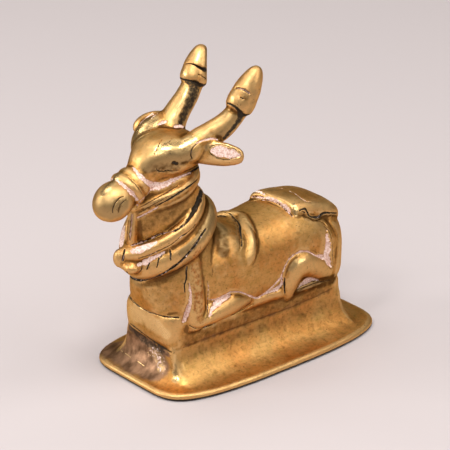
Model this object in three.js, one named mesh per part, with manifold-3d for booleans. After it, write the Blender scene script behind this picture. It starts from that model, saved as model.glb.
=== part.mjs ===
// A small brass figure of a resting bull, cast in one piece with its stepped base.
// The bull lies along X and faces -X, its left side is -Y, and the origin is the middle of the underside.
import * as THREE from "three";
import { mergeVertices } from "three/addons/utils/BufferGeometryUtils.js";
import Module from "manifold-3d";

const wasm = await Module();
wasm.setup();

// Base, in millimetres: a flat bowed foot, a hollowed skirt, and a block that the bull lies on.
const footLength = 78;
const footWidth = 45.4;
const footThickness = 2.1;
const skirtHeight = 9.3;
const blockLength = 60;
const blockWidth = 24.4;
const blockFrontWidth = 21.4;
const blockHeight = 5.6;
const blockForward = 2;
const blockFrontCorner = 3.2;
const blockBackCorner = 1.8;

// The bull's height from the block's top to the tips of its horns.
const figureHeight = 70;

const blockBottom = footThickness + skirtHeight;
const blockTop = blockBottom + blockHeight;

// The bull is drawn 70 high above the block, on a block 60 long and 24.4 wide, and stretched to the sizes
// above. In the tables x runs from the block's middle, y from the bull's middle plane, z from the block's top.
const drawn = { length: 60, width: 24.4, height: 70 };
const alongScale = blockLength / drawn.length;
const acrossScale = blockWidth / drawn.width;
const upScale = figureHeight / drawn.height;

function place(point) {
  return new THREE.Vector3(
    point.x * alongScale - blockForward,
    point.y * acrossScale,
    point.z * upScale + blockTop,
  );
}

// A closed body through rings with the same number of points, fanned shut at both ends,
// or joined end to end where the rings go round in a loop.
function loft(rings, loop = false) {
  const count = rings[0].length;
  const points = rings.flat();
  const faces = [];
  const spans = loop ? rings.length : rings.length - 1;
  for (let i = 0; i < spans; i += 1) {
    const here = i * count;
    const next = ((i + 1) % rings.length) * count;
    for (let j = 0; j < count; j += 1) {
      const k = (j + 1) % count;
      faces.push(here + j, here + k, next + k, here + j, next + k, next + j);
    }
  }
  if (!loop) {
    for (const [ring, start, turn] of [
      [rings[0], 0, true],
      [rings[rings.length - 1], (rings.length - 1) * count, false],
    ]) {
      const middle = ring
        .reduce((sum, p) => sum.add(p), new THREE.Vector3())
        .divideScalar(count);
      points.push(middle);
      for (let j = 0; j < count; j += 1) {
        const k = (j + 1) % count;
        const edge = turn ? [start + k, start + j] : [start + j, start + k];
        faces.push(points.length - 1, ...edge);
      }
    }
  }
  const geometry = new THREE.BufferGeometry().setFromPoints(points);
  geometry.setIndex(faces);
  return geometry;
}

// A geometry as a solid, turned outside out if its rings ran the other way.
function solid(geometry) {
  geometry.deleteAttribute("normal");
  geometry.deleteAttribute("uv");
  const merged = mergeVertices(geometry, 1e-4);
  const vertProperties = merged.attributes.position.array;
  const made = (order) =>
    new wasm.Manifold(
      new wasm.Mesh({ numProp: 3, vertProperties, triVerts: order }),
    );
  const faces = new Uint32Array(merged.index.array);
  const body = made(faces);
  return body.volume() > 0 ? body : made(faces.slice().reverse());
}

// One point of a rounded section: power 2 is an ellipse and higher powers are squarer.
function rounded(angle, halfA, halfB, power) {
  const bend = (value) => Math.sign(value) * Math.abs(value) ** (2 / power);
  return [halfA * bend(Math.cos(angle)), halfB * bend(Math.sin(angle))];
}

// Values between the rows of a table, on a smooth curve through them, at `count` even steps.
function between(rows, count) {
  const columns = rows[0].length;
  const curves = [];
  for (let c = 0; c < columns; c += 3) {
    const pick = (row, i) => (i < columns ? row[i] : 0);
    curves.push(
      new THREE.CatmullRomCurve3(
        rows.map(
          (row) =>
            new THREE.Vector3(pick(row, c), pick(row, c + 1), pick(row, c + 2)),
        ),
        false,
        "catmullrom",
        0.5,
      ),
    );
  }
  const steps = [];
  for (let i = 0; i <= count; i += 1) {
    const values = curves.flatMap((curve) =>
      curve.getPoint(i / count).toArray(),
    );
    steps.push(values.slice(0, columns));
  }
  return steps;
}

// A body of upright slices: each row is x, the slice's top and bottom, its half width and its squareness.
function sliced(rows, count, sides) {
  const rings = between(rows, count).map(([x, top, bottom, half, power]) => {
    const ring = [];
    for (let j = 0; j < sides; j += 1) {
      const angle = (j / sides) * 2 * Math.PI;
      const [y, z] = rounded(angle, half, (top - bottom) / 2, angle > Math.PI ? power + 1 : power);
      ring.push(place({ x, y, z: z + (top + bottom) / 2 }));
    }
    return ring;
  });
  return solid(loft(rings));
}

// A body of level slices: each row is z, the slice's front and back, its half width and its squareness.
function stacked(rows, count, sides) {
  const rings = between(rows, count).map(([z, front, back, half, power]) => {
    const ring = [];
    for (let j = 0; j < sides; j += 1) {
      const [x, y] = rounded((j / sides) * 2 * Math.PI, (back - front) / 2, half, power);
      ring.push(place({ x: x + (front + back) / 2, y, z }));
    }
    return ring;
  });
  return solid(loft(rings));
}

// A limb along a curve: each row is x, y, z, half its depth and half its breadth, the breadth lying along
// `across`; power makes its section squarer.
function limb(rows, count, sides, across = [0, 1, 0], power = 2) {
  const steps = between(rows, count);
  const centres = steps.map(([x, y, z]) => new THREE.Vector3(x, y, z));
  const rings = steps.map((step, i) => {
    const ahead = centres[Math.min(i + 1, count)];
    const behind = centres[Math.max(i - 1, 0)];
    const tangent = ahead.clone().sub(behind).normalize();
    const side = new THREE.Vector3(...across);
    side.addScaledVector(tangent, -side.dot(tangent)).normalize();
    const normal = new THREE.Vector3().crossVectors(tangent, side);
    const ring = [];
    for (let j = 0; j < sides; j += 1) {
      const [a, b] = rounded((j / sides) * 2 * Math.PI, step[3], step[4], power);
      ring.push(place(centres[i].clone().addScaledVector(normal, a).addScaledVector(side, b)));
    }
    return ring;
  });
  return solid(loft(rings));
}

// A band round a leaning oval: `ring` gives the oval's middle, half length, half width and the lean
// that raises its back; `profile` is the band's closed section, outwards and upwards.
function band(ring, profile, steps) {
  const lean = THREE.MathUtils.degToRad(ring.lean);
  const rings = [];
  for (let i = 0; i < steps; i += 1) {
    const angle = (i / steps) * 2 * Math.PI;
    const [x, y] = rounded(angle, ring.halfLength, ring.halfWidth, 2);
    const out = new THREE.Vector2(x / ring.halfLength ** 2, y / ring.halfWidth ** 2).normalize();
    rings.push(
      profile.map(([outward, upward]) => {
        const along = x + out.x * outward;
        const across = y + out.y * outward;
        return place({
          x: ring.x + along * Math.cos(lean) - upward * Math.sin(lean),
          y: across,
          z: ring.z + along * Math.sin(lean) + upward * Math.cos(lean),
        });
      }),
    );
  }
  return solid(loft(rings, true));
}

// An egg at a point, with its three half sizes, leaning about Y.
function ball(x, y, z, radii, lean = 0) {
  const geometry = new THREE.SphereGeometry(1, 14, 9);
  geometry.scale(...radii);
  geometry.rotateY(THREE.MathUtils.degToRad(lean));
  const position = geometry.attributes.position;
  for (let i = 0; i < position.count; i += 1) {
    const p = new THREE.Vector3().fromBufferAttribute(position, i);
    const moved = place(p.add(new THREE.Vector3(x, y, z)));
    position.setXYZ(i, moved.x, moved.y, moved.z);
  }
  return solid(geometry);
}

// The same rows on the other side of the bull.
function mirrored(rows) {
  return rows.map(([x, y, ...rest]) => [x, -y, ...rest]);
}

// The foot's outline is a bowed rectangle: its ends are rounder than its long sides.
function footRing(inset, count, perSide) {
  const endRoundness = 2.8;
  const sideRoundness = 5.8;
  const ring = [];
  for (let j = 0; j < count; j += 1) {
    const angle = ((j + perSide / 2) / count) * 2 * Math.PI;
    const long = footLength / 2 - inset;
    const wide = footWidth / 2 - inset;
    const [x] = rounded(angle, long, wide, endRoundness);
    const [, y] = rounded(angle, long, wide, sideRoundness);
    ring.push([x, y]);
  }
  return ring;
}

// The block's outline, narrower in front, with its corners rounded; it starts at the back right corner.
function blockRing(frontCorner, backCorner, count, perSide) {
  const corners = [[1, 1], [-1, 1], [-1, -1], [1, -1], [1, 1]];
  const ring = [];
  for (let j = 0; j < count; j += 1) {
    const side = Math.floor(j / perSide);
    const share = (j % perSide) / perSide;
    const [x0, y0] = corners[side];
    const [x1, y1] = corners[side + 1];
    const x = THREE.MathUtils.lerp(x0, x1, share) * (blockLength / 2);
    const y = THREE.MathUtils.lerp(y0, y1, share) * (blockWidth / 2);
    const round = x < 0 ? frontCorner : backCorner;
    const dx = Math.max(0, Math.abs(x) - (blockLength / 2 - round));
    const dy = Math.max(0, Math.abs(y) - (blockWidth / 2 - round));
    const reach = Math.hypot(dx, dy);
    const cut = reach > round ? 1 - round / reach : 0;
    const taper = THREE.MathUtils.lerp(blockFrontWidth / blockWidth, 1, x / blockLength + 0.5);
    ring.push([
      x - Math.sign(x) * dx * cut - blockForward,
      (y - Math.sign(y) * dy * cut) * taper,
    ]);
  }
  return ring;
}

// Base: every ring lists its four corners at the same places, so the hollowed skirt's mitres stay sharp.
function base() {
  const perSide = 8;
  const count = perSide * 4;
  const skirtSteps = 5;
  const hollow = 0.85;
  const undersideInset = (footThickness / 2) * 0.8;
  const skirtInset = (footThickness / 2) * 1.2;
  const sharpCorner = 0.01;
  const level = (ring, z) => ring.map(([x, y]) => new THREE.Vector3(x, y, z));
  const edge = footThickness / 2;
  const rings = [level(footRing(undersideInset, count, perSide), 0)];
  for (const turn of [-45, 0, 45]) {
    const angle = THREE.MathUtils.degToRad(turn);
    const ring = footRing(edge * (1 - Math.cos(angle)), count, perSide);
    rings.push(level(ring, edge + edge * Math.sin(angle)));
  }
  const outer = footRing(skirtInset, count, perSide);
  const inner = blockRing(sharpCorner, sharpCorner, count, perSide);
  for (let i = 0; i <= skirtSteps; i += 1) {
    const angle = (i / skirtSteps) * (Math.PI / 2);
    const inward = Math.sin(angle) ** hollow;
    const up = footThickness + skirtHeight * (1 - Math.cos(angle));
    rings.push(
      outer.map(([x, y], j) => {
        const [blockX, blockY] = inner[j];
        return new THREE.Vector3(
          THREE.MathUtils.lerp(x, blockX, inward),
          THREE.MathUtils.lerp(y, blockY, inward),
          up,
        );
      }),
    );
  }

  // The block's corners start tighter at its foot, and its upper edge is drawn in a little.
  const seam = 0.4;
  const lowFrontCorner = blockFrontCorner / 3;
  const lowBackCorner = blockBackCorner / 2;
  const drawnInAlong = 0.99;
  const drawnInAcross = 0.98;
  const low = blockRing(lowFrontCorner, lowBackCorner, count, perSide);
  const top = blockRing(blockFrontCorner, blockBackCorner, count, perSide);
  rings.push(level(low, blockBottom + seam), level(top, blockTop - seam));
  rings.push(level(top.map(([x, y]) => [x * drawnInAlong, y * drawnInAcross]), blockTop));
  return solid(loft(rings));
}

// Trunk, from inside the chest to the rump.
function trunk() {
  const rows = [
    [-27, 18, -2, 8, 2.2],
    [-18, 22.5, -2, 11.8, 2.2],
    [-9, 23.6, -2, 12.9, 2.3],
    [-2, 21.4, -2, 12.9, 2.3],
    [6, 21.8, -2, 12.6, 2.3],
    [14, 22.4, -2, 12.8, 2.4],
    [22, 21.2, -2, 13, 2.4],
    [28.4, 17.4, -2, 12.2, 2.4],
    [32, 12.5, -1, 9.4, 2.3],
    [33.2, 8, 0, 5, 2.2],
  ];
  return sliced(rows, 15, 22);
}

// Chest and neck, from the block up into the head.
function chestAndNeck() {
  const rows = [
    [-2, -30.2, -6, 10.2, 3.4],
    [2, -30.4, -5, 10.8, 3.2],
    [9, -33.2, -5, 12.2, 2.5],
    [15, -33.7, -7, 11.6, 2.3],
    [21, -34.2, -9.5, 10.2, 2.2],
    [27, -35.2, -12, 9, 2.1],
    [33, -35.6, -14.3, 7.9, 2],
    [39, -34.6, -15.2, 7, 2],
    [45, -32, -16.5, 6, 2],
  ];
  return stacked(rows, 11, 22);
}

// Head from poll to snout.
function head() {
  const rows = [
    [-12.6, 0, 48, 1.2, 3.4],
    [-14.8, 0, 47.6, 3.4, 6.8],
    [-19, 0, 47.2, 4.6, 8],
    [-24, 0, 47.2, 5.4, 8.6],
    [-27.4, 0, 46.3, 5.8, 8.2],
    [-30.2, 0, 44.6, 5, 6.6],
    [-32.4, 0, 43.2, 3.8, 4.6],
    [-36, 0, 41, 3.4, 4.2],
    [-39, 0, 39, 3.2, 4],
  ];
  return limb(rows, 12, 20, [0, 1, 0], 2.6);
}

const muzzle = () => ball(-41, 0, 38.1, [5.9, 5.5, 5.5], -30);

// Noseband with a groove round its middle.
function noseband() {
  const ring = { x: -35, z: 41.8, halfLength: 4.1, halfWidth: 4.4, lean: 120 };
  const section = [[-2, -2.4], [0.7, -2.4], [1.2, -1.6], [1.2, -0.6], [0.7, 0], [1.2, 0.6], [1.2, 1.6], [0.7, 2.4], [-2, 2.4]];
  return band(ring, section, 22);
}

// Horn: a bent shaft and, on its end, a bud with a groove round it. The left horn sweeps lower than the right.
function horn(side) {
  const shaft =
    side < 0
      ? [
          [-20, -4.6, 47.6, 3.6, 3.6],
          [-17.2, -6.6, 50.3, 3.8, 3.8],
          [-13.9, -7.6, 52, 3.5, 3.5],
          [-10.6, -8.6, 54.1, 3.2, 3.2],
          [-7.7, -9.5, 57.4, 2.9, 2.9],
          [-6.4, -9.8, 59.6, 2.9, 2.9],
        ]
      : [
          [-18.6, 4.6, 47.8, 3.8, 3.8],
          [-15.8, 6.6, 51.6, 3.8, 3.8],
          [-13, 7.6, 54.2, 3.6, 3.6],
          [-9.6, 8.6, 56.8, 3.4, 3.4],
          [-6.6, 9.5, 59.4, 3.2, 3.2],
          [-6, 9.7, 61, 2.9, 2.9],
        ];
  const [x, y, z] = shaft[4];
  const neck = new THREE.Vector3(x, y, z);
  const tip = new THREE.Vector3(-1.5, side * 11, 69.2);
  const bud = [
    [0, 2.6],
    [0.04, 3.6],
    [0.22, 3.9],
    [0.39, 3.7],
    [0.43, 3.2],
    [0.47, 3.6],
    [0.7, 2.95],
    [0.88, 1.95],
    [0.97, 1],
    [1, 0.2],
  ].map(([share, radius]) => [...neck.clone().lerp(tip, share).toArray(), radius, radius]);
  return [limb(shaft, 6, 12), limb(bud, bud.length - 1, 12)];
}

// Leaf-shaped ears with a hollow in the outer face: the left one lies level, swept back, and the right one
// is set higher and turned forward.
function ear(side) {
  const [leaf, hollow, across] =
    side < 0
      ? [
          [
            [-21, -5, 47.8, 1.4, 2.2],
            [-18, -8.4, 47.9, 1.7, 2.9],
            [-15, -12, 48, 1.6, 3.3],
            [-12.6, -15, 47.8, 1.2, 2.3],
            [-11, -17, 47.4, 0.5, 0.7],
          ],
          [
            [-17.8, -11.4, 48.2, 0.3, 0.4],
            [-16.4, -13.1, 48.2, 1, 1.9],
            [-14.4, -15.5, 47.8, 0.9, 1.6],
            [-13, -17.2, 47.4, 0.2, 0.3],
          ],
          [0, 0, 1],
        ]
      : [
          [
            [-20, 5, 50.6, 1.4, 1.8],
            [-18.7, 7.5, 51.8, 1.7, 2.8],
            [-19.6, 11, 51.6, 1.6, 3.4],
            [-21.2, 13.6, 50.5, 1.3, 2.3],
            [-22, 15.2, 49.4, 0.5, 0.6],
          ],
          [
            [-20.4, 9, 51.6, 0.3, 0.4],
            [-21.4, 11, 51.6, 1, 1.9],
            [-22.6, 13, 50.8, 0.9, 1.5],
            [-23.4, 14.6, 49.8, 0.2, 0.3],
          ],
          [0.5, 0, 0.86],
        ];
  return limb(leaf, 7, 12, across).subtract(limb(hollow, 5, 10, across));
}

// Strap under the jaw, tied behind the horns.
function throatStrap() {
  const ring = { x: -24.8, z: 37.2, halfLength: 10.8, halfWidth: 7, lean: 30 };
  const section = [[-2, -2.2], [0.6, -2.2], [0.8, -1.2], [1.2, -0.4], [0.9, 0.2], [1.6, 0.9], [1.5, 1.8], [0.9, 2.3], [-2, 2.3]];
  return band(ring, section, 26);
}

// Collar of two rolled garlands, a narrow one above a broad one.
function collar() {
  const ring = { x: -23.9, z: 25.2, halfLength: 11.9, halfWidth: 9.2, lean: 30 };
  const narrow = [[1.3, 1], [1.9, 1.7], [1.9, 2.9], [1.2, 3.9]];
  const broad = [[1.4, -4], [2.3, -3.2], [2.6, -1.6], [2, 0.2]];
  return band(ring, [[-3, -3.6], ...broad, ...narrow, [-3, 3.6]], 28);
}

// Bell on the collar: two small lobes at the throat.
function pendant() {
  return [ball(-38.3, 1.6, 20.3, [2.2, 2.2, 2.3]), ball(-36.8, -2.4, 18.8, [2.1, 2.2, 2])];
}

// Fold of skin down the front of the neck.
function dewlap() {
  const rows = [
    [-33.6, 0, 35, 2, 1.5],
    [-34.6, 0, 30, 2, 1.4],
    [-34.8, 0, 25, 2, 1.4],
    [-34.4, 0, 20, 2, 1.6],
  ];
  return limb(rows, 6, 10);
}

// Fold over the shoulders, steep in front and soft behind.
function shoulderFold() {
  const rows = [
    [-6.2, -12.4, 13.5, 1.2, 1],
    [-4.6, -11.4, 17.6, 1.8, 2.2],
    [-3.4, -7, 21.2, 2, 2.6],
    [-2.6, 0, 22.6, 2, 2.6],
    [-3.4, 7, 21.2, 2, 2.6],
    [-4.6, 11.4, 17.6, 1.8, 2.2],
    [-6.2, 12.4, 13.5, 1.2, 1],
  ];
  return limb(rows, 12, 8, [1, 0, 0.2]);
}

// Thick cloth over the rump.
function rumpCloth() {
  const rows = [
    [9.6, 22, 17, 4, 2.6],
    [10.6, 23.8, 15.4, 6.6, 2.6],
    [13, 24.8, 14.6, 8, 2.6],
    [19, 24.6, 14, 8.8, 2.6],
    [26, 22.8, 13, 9.4, 2.6],
    [30.4, 20.6, 13, 9.2, 2.6],
    [33, 18.4, 13, 6.8, 2.6],
    [33.8, 16.6, 14, 4, 2.6],
  ];
  return sliced(rows, 12, 20);
}

// Tail laid down the left of the rump to the block.
function tail() {
  const rows = [
    [26, -6, 17, 2, 2],
    [29, -8.4, 12.5, 2.2, 2],
    [29.8, -9.6, 7, 2, 2],
    [28.6, -10.2, 0, 2.2, 2],
  ];
  return limb(rows, 8, 10);
}

// Foreleg: the upper leg down the chest's side, and the shin folded back along the block.
function foreleg(side) {
  const upper = [
    [-21.5, 10.4, 15, 2.4, 1.6],
    [-20.8, 11.6, 9, 2.7, 2],
    [-20.4, 11.6, 3, 2.6, 1.8],
    [-20.4, 10.8, -1, 2.4, 1.6],
  ];
  const shin = [
    [-22, 11, 1, 1.6, 1.4],
    [-18.5, 11.6, 2.2, 2.6, 2],
    [-13, 11.9, 3.2, 3, 2.2],
    [-7.5, 11.8, 2.4, 2.3, 1.8],
    [-2.4, 11.4, 0.6, 0.6, 0.8],
  ];
  const turn = side < 0 ? mirrored : (rows) => rows;
  return [limb(turn(upper), 6, 10), limb(turn(shin), 8, 10)];
}

// Hind leg: the shank rises from the hoof to a sharp knee and the thigh falls back to the rump.
function hindleg(side) {
  const bent = [
    [9.8, 10.8, -1, 2, 1.8],
    [11.2, 11.4, 4, 2.4, 2.2],
    [14.6, 11.8, 7.8, 3.2, 2.4],
    [18.5, 11.8, 7.2, 3.4, 2.4],
    [23.5, 11.4, 4.2, 3.2, 2.4],
    [28.6, 10.4, 1.4, 3, 2.2],
  ];
  const foot = [
    [9, 10.4, -0.8, 1.4, 1.8],
    [16, 10.6, -0.7, 1.9, 2.2],
    [28, 10, -0.5, 2, 2.2],
  ];
  const turn = side < 0 ? mirrored : (rows) => rows;
  return [limb(turn(bent), 10, 10), limb(turn(foot), 5, 8)];
}

const pieces = [
  base(),
  trunk(),
  chestAndNeck(),
  head(),
  muzzle(),
  noseband(),
  throatStrap(),
  collar(),
  pendant(),
  dewlap(),
  shoulderFold(),
  rumpCloth(),
  tail(),
  ...[-1, 1].map((side) => [horn(side), ear(side), foreleg(side), hindleg(side)]),
].flat(3);

const whole = pieces.reduce((sum, piece) => sum.add(piece));

function meshGeometry(body) {
  const mesh = body.getMesh();
  const geometry = new THREE.BufferGeometry();
  geometry.setAttribute("position", new THREE.BufferAttribute(mesh.vertProperties, mesh.numProp));
  geometry.setIndex(new THREE.BufferAttribute(mesh.triVerts, 1));
  geometry.computeVertexNormals();
  return geometry;
}

const brass = new THREE.MeshStandardMaterial({ color: 0xa8763a, roughness: 0.34, metalness: 1 });
const bull = new THREE.Mesh(meshGeometry(whole), brass);
bull.name = "nandi_bull";

const group = new THREE.Group();
group.add(bull);

export default group;
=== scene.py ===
# %% [markdown]
# # A small brass bull, dressed from its imported model
# The object is a household brass figure of a resting bull, cast in one piece with its stepped base.
# The imported model gives its place, size and main solids. This script models the casting again with its real
# surface: the soft joints of the wax it was made from, the punched and scribed lines, the pits, the pale
# residue in its hollows and the tarnish where no finger reaches. Its colour also carries painted shade in the
# hollows, creases and sheltered places, and painted highlights on the parts that are rubbed bright.

import math

import bpy
import numpy as np
from mathutils import Matrix, Vector, noise
from mathutils.bvhtree import BVHTree


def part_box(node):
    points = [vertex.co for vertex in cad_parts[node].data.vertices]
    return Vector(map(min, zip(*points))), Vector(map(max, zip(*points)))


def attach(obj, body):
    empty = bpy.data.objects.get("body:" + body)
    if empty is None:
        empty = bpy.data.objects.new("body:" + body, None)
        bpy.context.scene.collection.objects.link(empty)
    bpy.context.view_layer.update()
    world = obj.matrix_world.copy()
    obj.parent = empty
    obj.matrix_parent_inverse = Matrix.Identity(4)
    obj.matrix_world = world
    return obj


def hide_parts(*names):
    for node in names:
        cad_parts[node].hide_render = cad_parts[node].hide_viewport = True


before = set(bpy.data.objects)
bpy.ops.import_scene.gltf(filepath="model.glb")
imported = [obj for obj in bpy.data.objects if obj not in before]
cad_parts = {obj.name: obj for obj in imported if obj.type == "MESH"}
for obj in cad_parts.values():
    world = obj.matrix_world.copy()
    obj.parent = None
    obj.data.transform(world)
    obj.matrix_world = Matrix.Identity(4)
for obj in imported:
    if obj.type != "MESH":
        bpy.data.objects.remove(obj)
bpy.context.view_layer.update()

# %% [markdown]
# The bull is drawn in its maker's own measures: millimetres from the middle of the block it lies on, at the
# block's top. Such tables could be written in metres from the floor, but then a hoof and a horn tip would
# be hard to read side by side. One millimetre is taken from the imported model's height, so that the drawing
# follows the model if its size changes.

# %% Measures
low, high = (Vector(corner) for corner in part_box("nandi_bull"))
DRAWN_HEIGHT = 86.37
mm = (high.z - low.z) / DRAWN_HEIGHT
BLOCK_FORWARD = 2
BLOCK_TOP = 17


def place(x, y, z):
    """A point of the drawing, in metres in the model's frame."""
    return Vector(((x - BLOCK_FORWARD) * mm, y * mm, (z + BLOCK_TOP) * mm))


print("one drawn millimetre is", mm, "metres")

# %% [markdown]
# The photograph was taken with a long lens, from the bull's left front and from above. The camera comes
# first, because later the marks in the metal are placed along its rays: a line scribed on the picture is a
# line scribed on the casting. A wider lens closer by would give the same framing, but the base would spread.

# %% Camera
PICTURE = 450
FOCAL_PIXELS = 2275.8
SENSOR = 36
turn = math.radians(40.82)
rise = math.radians(23.65)
distance = 641 * mm
aim_right = -3.63 * mm
aim_up = 32.76 * mm

camera_right = Vector((math.cos(turn), -math.sin(turn), 0))
camera_up = Vector((math.sin(turn) * math.sin(rise), math.cos(turn) * math.sin(rise), math.cos(rise)))
camera_back = camera_right.cross(camera_up)
eye = camera_right * aim_right + camera_up * aim_up + camera_back * distance

camera_data = bpy.data.cameras.new("view_from_left_front")
camera_data.sensor_width = SENSOR
camera_data.lens = FOCAL_PIXELS / PICTURE * SENSOR
camera_data.clip_start = 0.01
camera = bpy.data.objects.new("view_from_left_front", camera_data)
axes = Matrix((camera_right, camera_up, camera_back)).transposed().to_4x4()
camera.matrix_world = Matrix.Translation(eye) @ axes
bpy.context.scene.collection.objects.link(camera)
bpy.context.scene.camera = camera
print("lens", round(camera_data.lens, 1), "mm at", round(eye.length, 3), "m")

# %% [markdown]
# Wax for such a casting is worked as lumps, coils and strips that are pressed together. Each lump here
# starts as a filled circle that is extruded once for every ring of its table and then has its rings moved
# to their places. A lathe or a sculpting brush could make some of them, but a table of rings keeps every
# swelling of the body at a place that can be read and changed.

# %% Wax lumps from rings
def deselect():
    if bpy.context.object and bpy.context.object.mode != "OBJECT":
        bpy.ops.object.mode_set(mode="OBJECT")
    bpy.ops.object.select_all(action="DESELECT")


def between(rows, count):
    """Rows on a smooth curve through the given rows, at even steps."""
    rows = np.array(rows, dtype=float)
    padded = np.vstack([2 * rows[0] - rows[1], rows, 2 * rows[-1] - rows[-2]])
    steps = []
    for t in np.linspace(0, len(rows) - 1, count + 1):
        i = min(int(t), len(rows) - 2)
        s = t - i
        a, b, c, d = padded[i:i + 4]
        bend = 2 * b + (c - a) * s + (2 * a - 5 * b + 4 * c - d) * s**2 + (3 * b - a - 3 * c + d) * s**3
        steps.append(bend / 2)
    return steps


def oval(angle, half_a, half_b, power):
    """A point of a rounded section: power 2 is an ellipse and higher powers are squarer."""
    def bend(value):
        return math.copysign(abs(value) ** (2 / power), value)
    return half_a * bend(math.cos(angle)), half_b * bend(math.sin(angle))


def lump(name, rings):
    """A closed lump with the given rings of points, made by extruding a filled circle."""
    sides = len(rings[0])
    deselect()
    bpy.ops.mesh.primitive_circle_add(vertices=sides, radius=mm, fill_type="NGON")
    made = bpy.context.object
    made.name = name
    bpy.ops.object.mode_set(mode="EDIT")
    for _ in rings[1:]:
        bpy.ops.mesh.extrude_region_move(TRANSFORM_OT_translate={"value": (0, 0, mm)})
    bpy.ops.object.mode_set(mode="OBJECT")
    for vertex in made.data.vertices:
        ring = round(vertex.co.z / mm)
        step = round(math.atan2(-vertex.co.x, vertex.co.y) / (2 * math.pi) * sides) % sides
        vertex.co = rings[ring][step]
    bpy.ops.object.mode_set(mode="EDIT")
    bpy.ops.mesh.select_all(action="SELECT")
    bpy.ops.mesh.normals_make_consistent(inside=False)
    bpy.ops.object.mode_set(mode="OBJECT")
    return made


def angles(sides):
    return [step / sides * 2 * math.pi for step in range(sides)]


print("one ring of a 2 by 1 oval:", [tuple(round(v, 2) for v in oval(a, 2, 1, 2)) for a in angles(4)])

# %% [markdown]
# Two kinds of slices fit the body of this animal. The trunk is a row of upright slices, each with its top and
# bottom, and the chest and neck are a stack of level slices, each with its front and back. A level slice can
# be pinched in front, as a throat is narrower than the nape.

# %% Upright and level slices
def upright_slices(name, rows, count, sides=48):
    """Rows: x, top, bottom, half width, squareness; the lower half is a little squarer."""
    rings = []
    for x, top, bottom, half, power in between(rows, count):
        ring = []
        for angle in angles(sides):
            y, z = oval(angle, half, (top - bottom) / 2, power + 1 if angle > math.pi else power)
            ring.append(place(x, y, z + (top + bottom) / 2))
        rings.append(ring)
    return lump(name, rings)


WIDENING = 1.5


def pinch(x, front, back, share):
    """How wide a level slice is at x: a share of its width in front, growing to all of it behind."""
    backness = min(max((x - front) / (back - front) * WIDENING, 0), 1)
    return share + (1 - share) * math.sin(backness * math.pi / 2)


def level_slices(name, rows, count, sides=64):
    """Rows: z, front, back, half width, squareness, share of the width kept in front."""
    rings = []
    for z, front, back, half, power, share in between(rows, count):
        ring = []
        for angle in angles(sides):
            x, y = oval(angle, (back - front) / 2, half, power)
            x += (front + back) / 2
            ring.append(place(x, y * pinch(x, front, back, share), z))
        rings.append(ring)
    return lump(name, rings)


print("a slice pinched to a half is", round(pinch(0, -10, 10, 0.5), 2), "of its width at the middle")

# %% [markdown]
# A limb is worked as a strip of wax that is rolled thick and thin and laid along a line. A curve with a bevel
# could do it, but its section would be the same all along, and a leg's is not.

# %% Limbs
def limb(name, rows, count, across=(0, 1, 0), power=2.0, sides=24):
    """Rows: x, y, z, half depth, half breadth; the breadth lies along `across`."""
    steps = between(rows, count)
    centres = [Vector(step[:3]) for step in steps]
    rings = []
    for i, step in enumerate(steps):
        along = (centres[min(i + 1, count)] - centres[max(i - 1, 0)]).normalized()
        side = Vector(across)
        side = (side - side.dot(along) * along).normalized()
        normal = along.cross(side)
        ring = []
        for angle in angles(sides):
            a, b = oval(angle, step[3], step[4], power)
            ring.append(place(*(centres[i] + normal * a + side * b)))
        rings.append(ring)
    return lump(name, rings)


def other_side(rows):
    return [(x, -y, *rest) for x, y, *rest in rows]


print("the other side of a point:", other_side([(1, 2, 3)]))

# %% [markdown]
# Two forms need no table. A ball is pressed to an egg, and a ring of wax is stretched to an oval coil. Both
# are Blender's own primitives, shaped in edit mode so that the finished piece stays unturned and unscaled.

# %% Eggs and coils
def egg(name, x, y, z, radii, lean=0):
    """A ball of wax pressed to three half sizes, leaning about the line across the bull."""
    deselect()
    bpy.ops.mesh.primitive_uv_sphere_add(segments=40, ring_count=24, radius=mm)
    bpy.ops.object.mode_set(mode="EDIT")
    bpy.ops.transform.resize(value=radii, center_override=(0, 0, 0))
    bpy.ops.transform.rotate(value=-math.radians(lean), orient_axis="Y", center_override=(0, 0, 0))
    bpy.ops.transform.translate(value=place(x, y, z))
    bpy.ops.object.mode_set(mode="OBJECT")
    made = bpy.context.object
    made.name = name
    return made


def coil(name, x, z, half_length, half_width, lean, up, half_height, proud, share=1):
    """A coil of wax round a leaning oval, lifted `up` along its lean and pinched in front to a share."""
    middle = (half_length + half_width) / 2
    deselect()
    bpy.ops.mesh.primitive_torus_add(
        major_segments=120, minor_segments=20, major_radius=middle * mm, minor_radius=proud * mm
    )
    bpy.ops.object.mode_set(mode="EDIT")
    bpy.ops.mesh.select_all(action="SELECT")
    stretch = (half_length / middle, half_width / middle, half_height / proud)
    bpy.ops.transform.resize(value=stretch, center_override=(0, 0, 0))
    bpy.ops.transform.translate(value=(0, 0, up * mm))
    bpy.ops.object.mode_set(mode="OBJECT")
    for vertex in bpy.context.object.data.vertices:
        vertex.co.y *= pinch(vertex.co.x / mm, -half_length, half_length, share)
    bpy.ops.object.mode_set(mode="EDIT")
    bpy.ops.transform.rotate(value=math.radians(lean), orient_axis="Y", center_override=(0, 0, 0))
    bpy.ops.transform.translate(value=place(x, 0, z))
    bpy.ops.object.mode_set(mode="OBJECT")
    made = bpy.context.object
    made.name = name
    return made


wax = []
print("the wax is ready,", len(wax), "lumps so far")

# %% [markdown]
# The base is a thin bowed foot, a hollowed skirt and a block. A single stack of rings makes it: the foot's
# outline is a bowed rectangle and the block's has straight sides, and the skirt passes from one to the
# other, so that a sharp mitre runs up each corner. Extruding and scaling one outline could not make those
# mitres, because its corners would stay as round at the top as they are at the foot.

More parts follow.
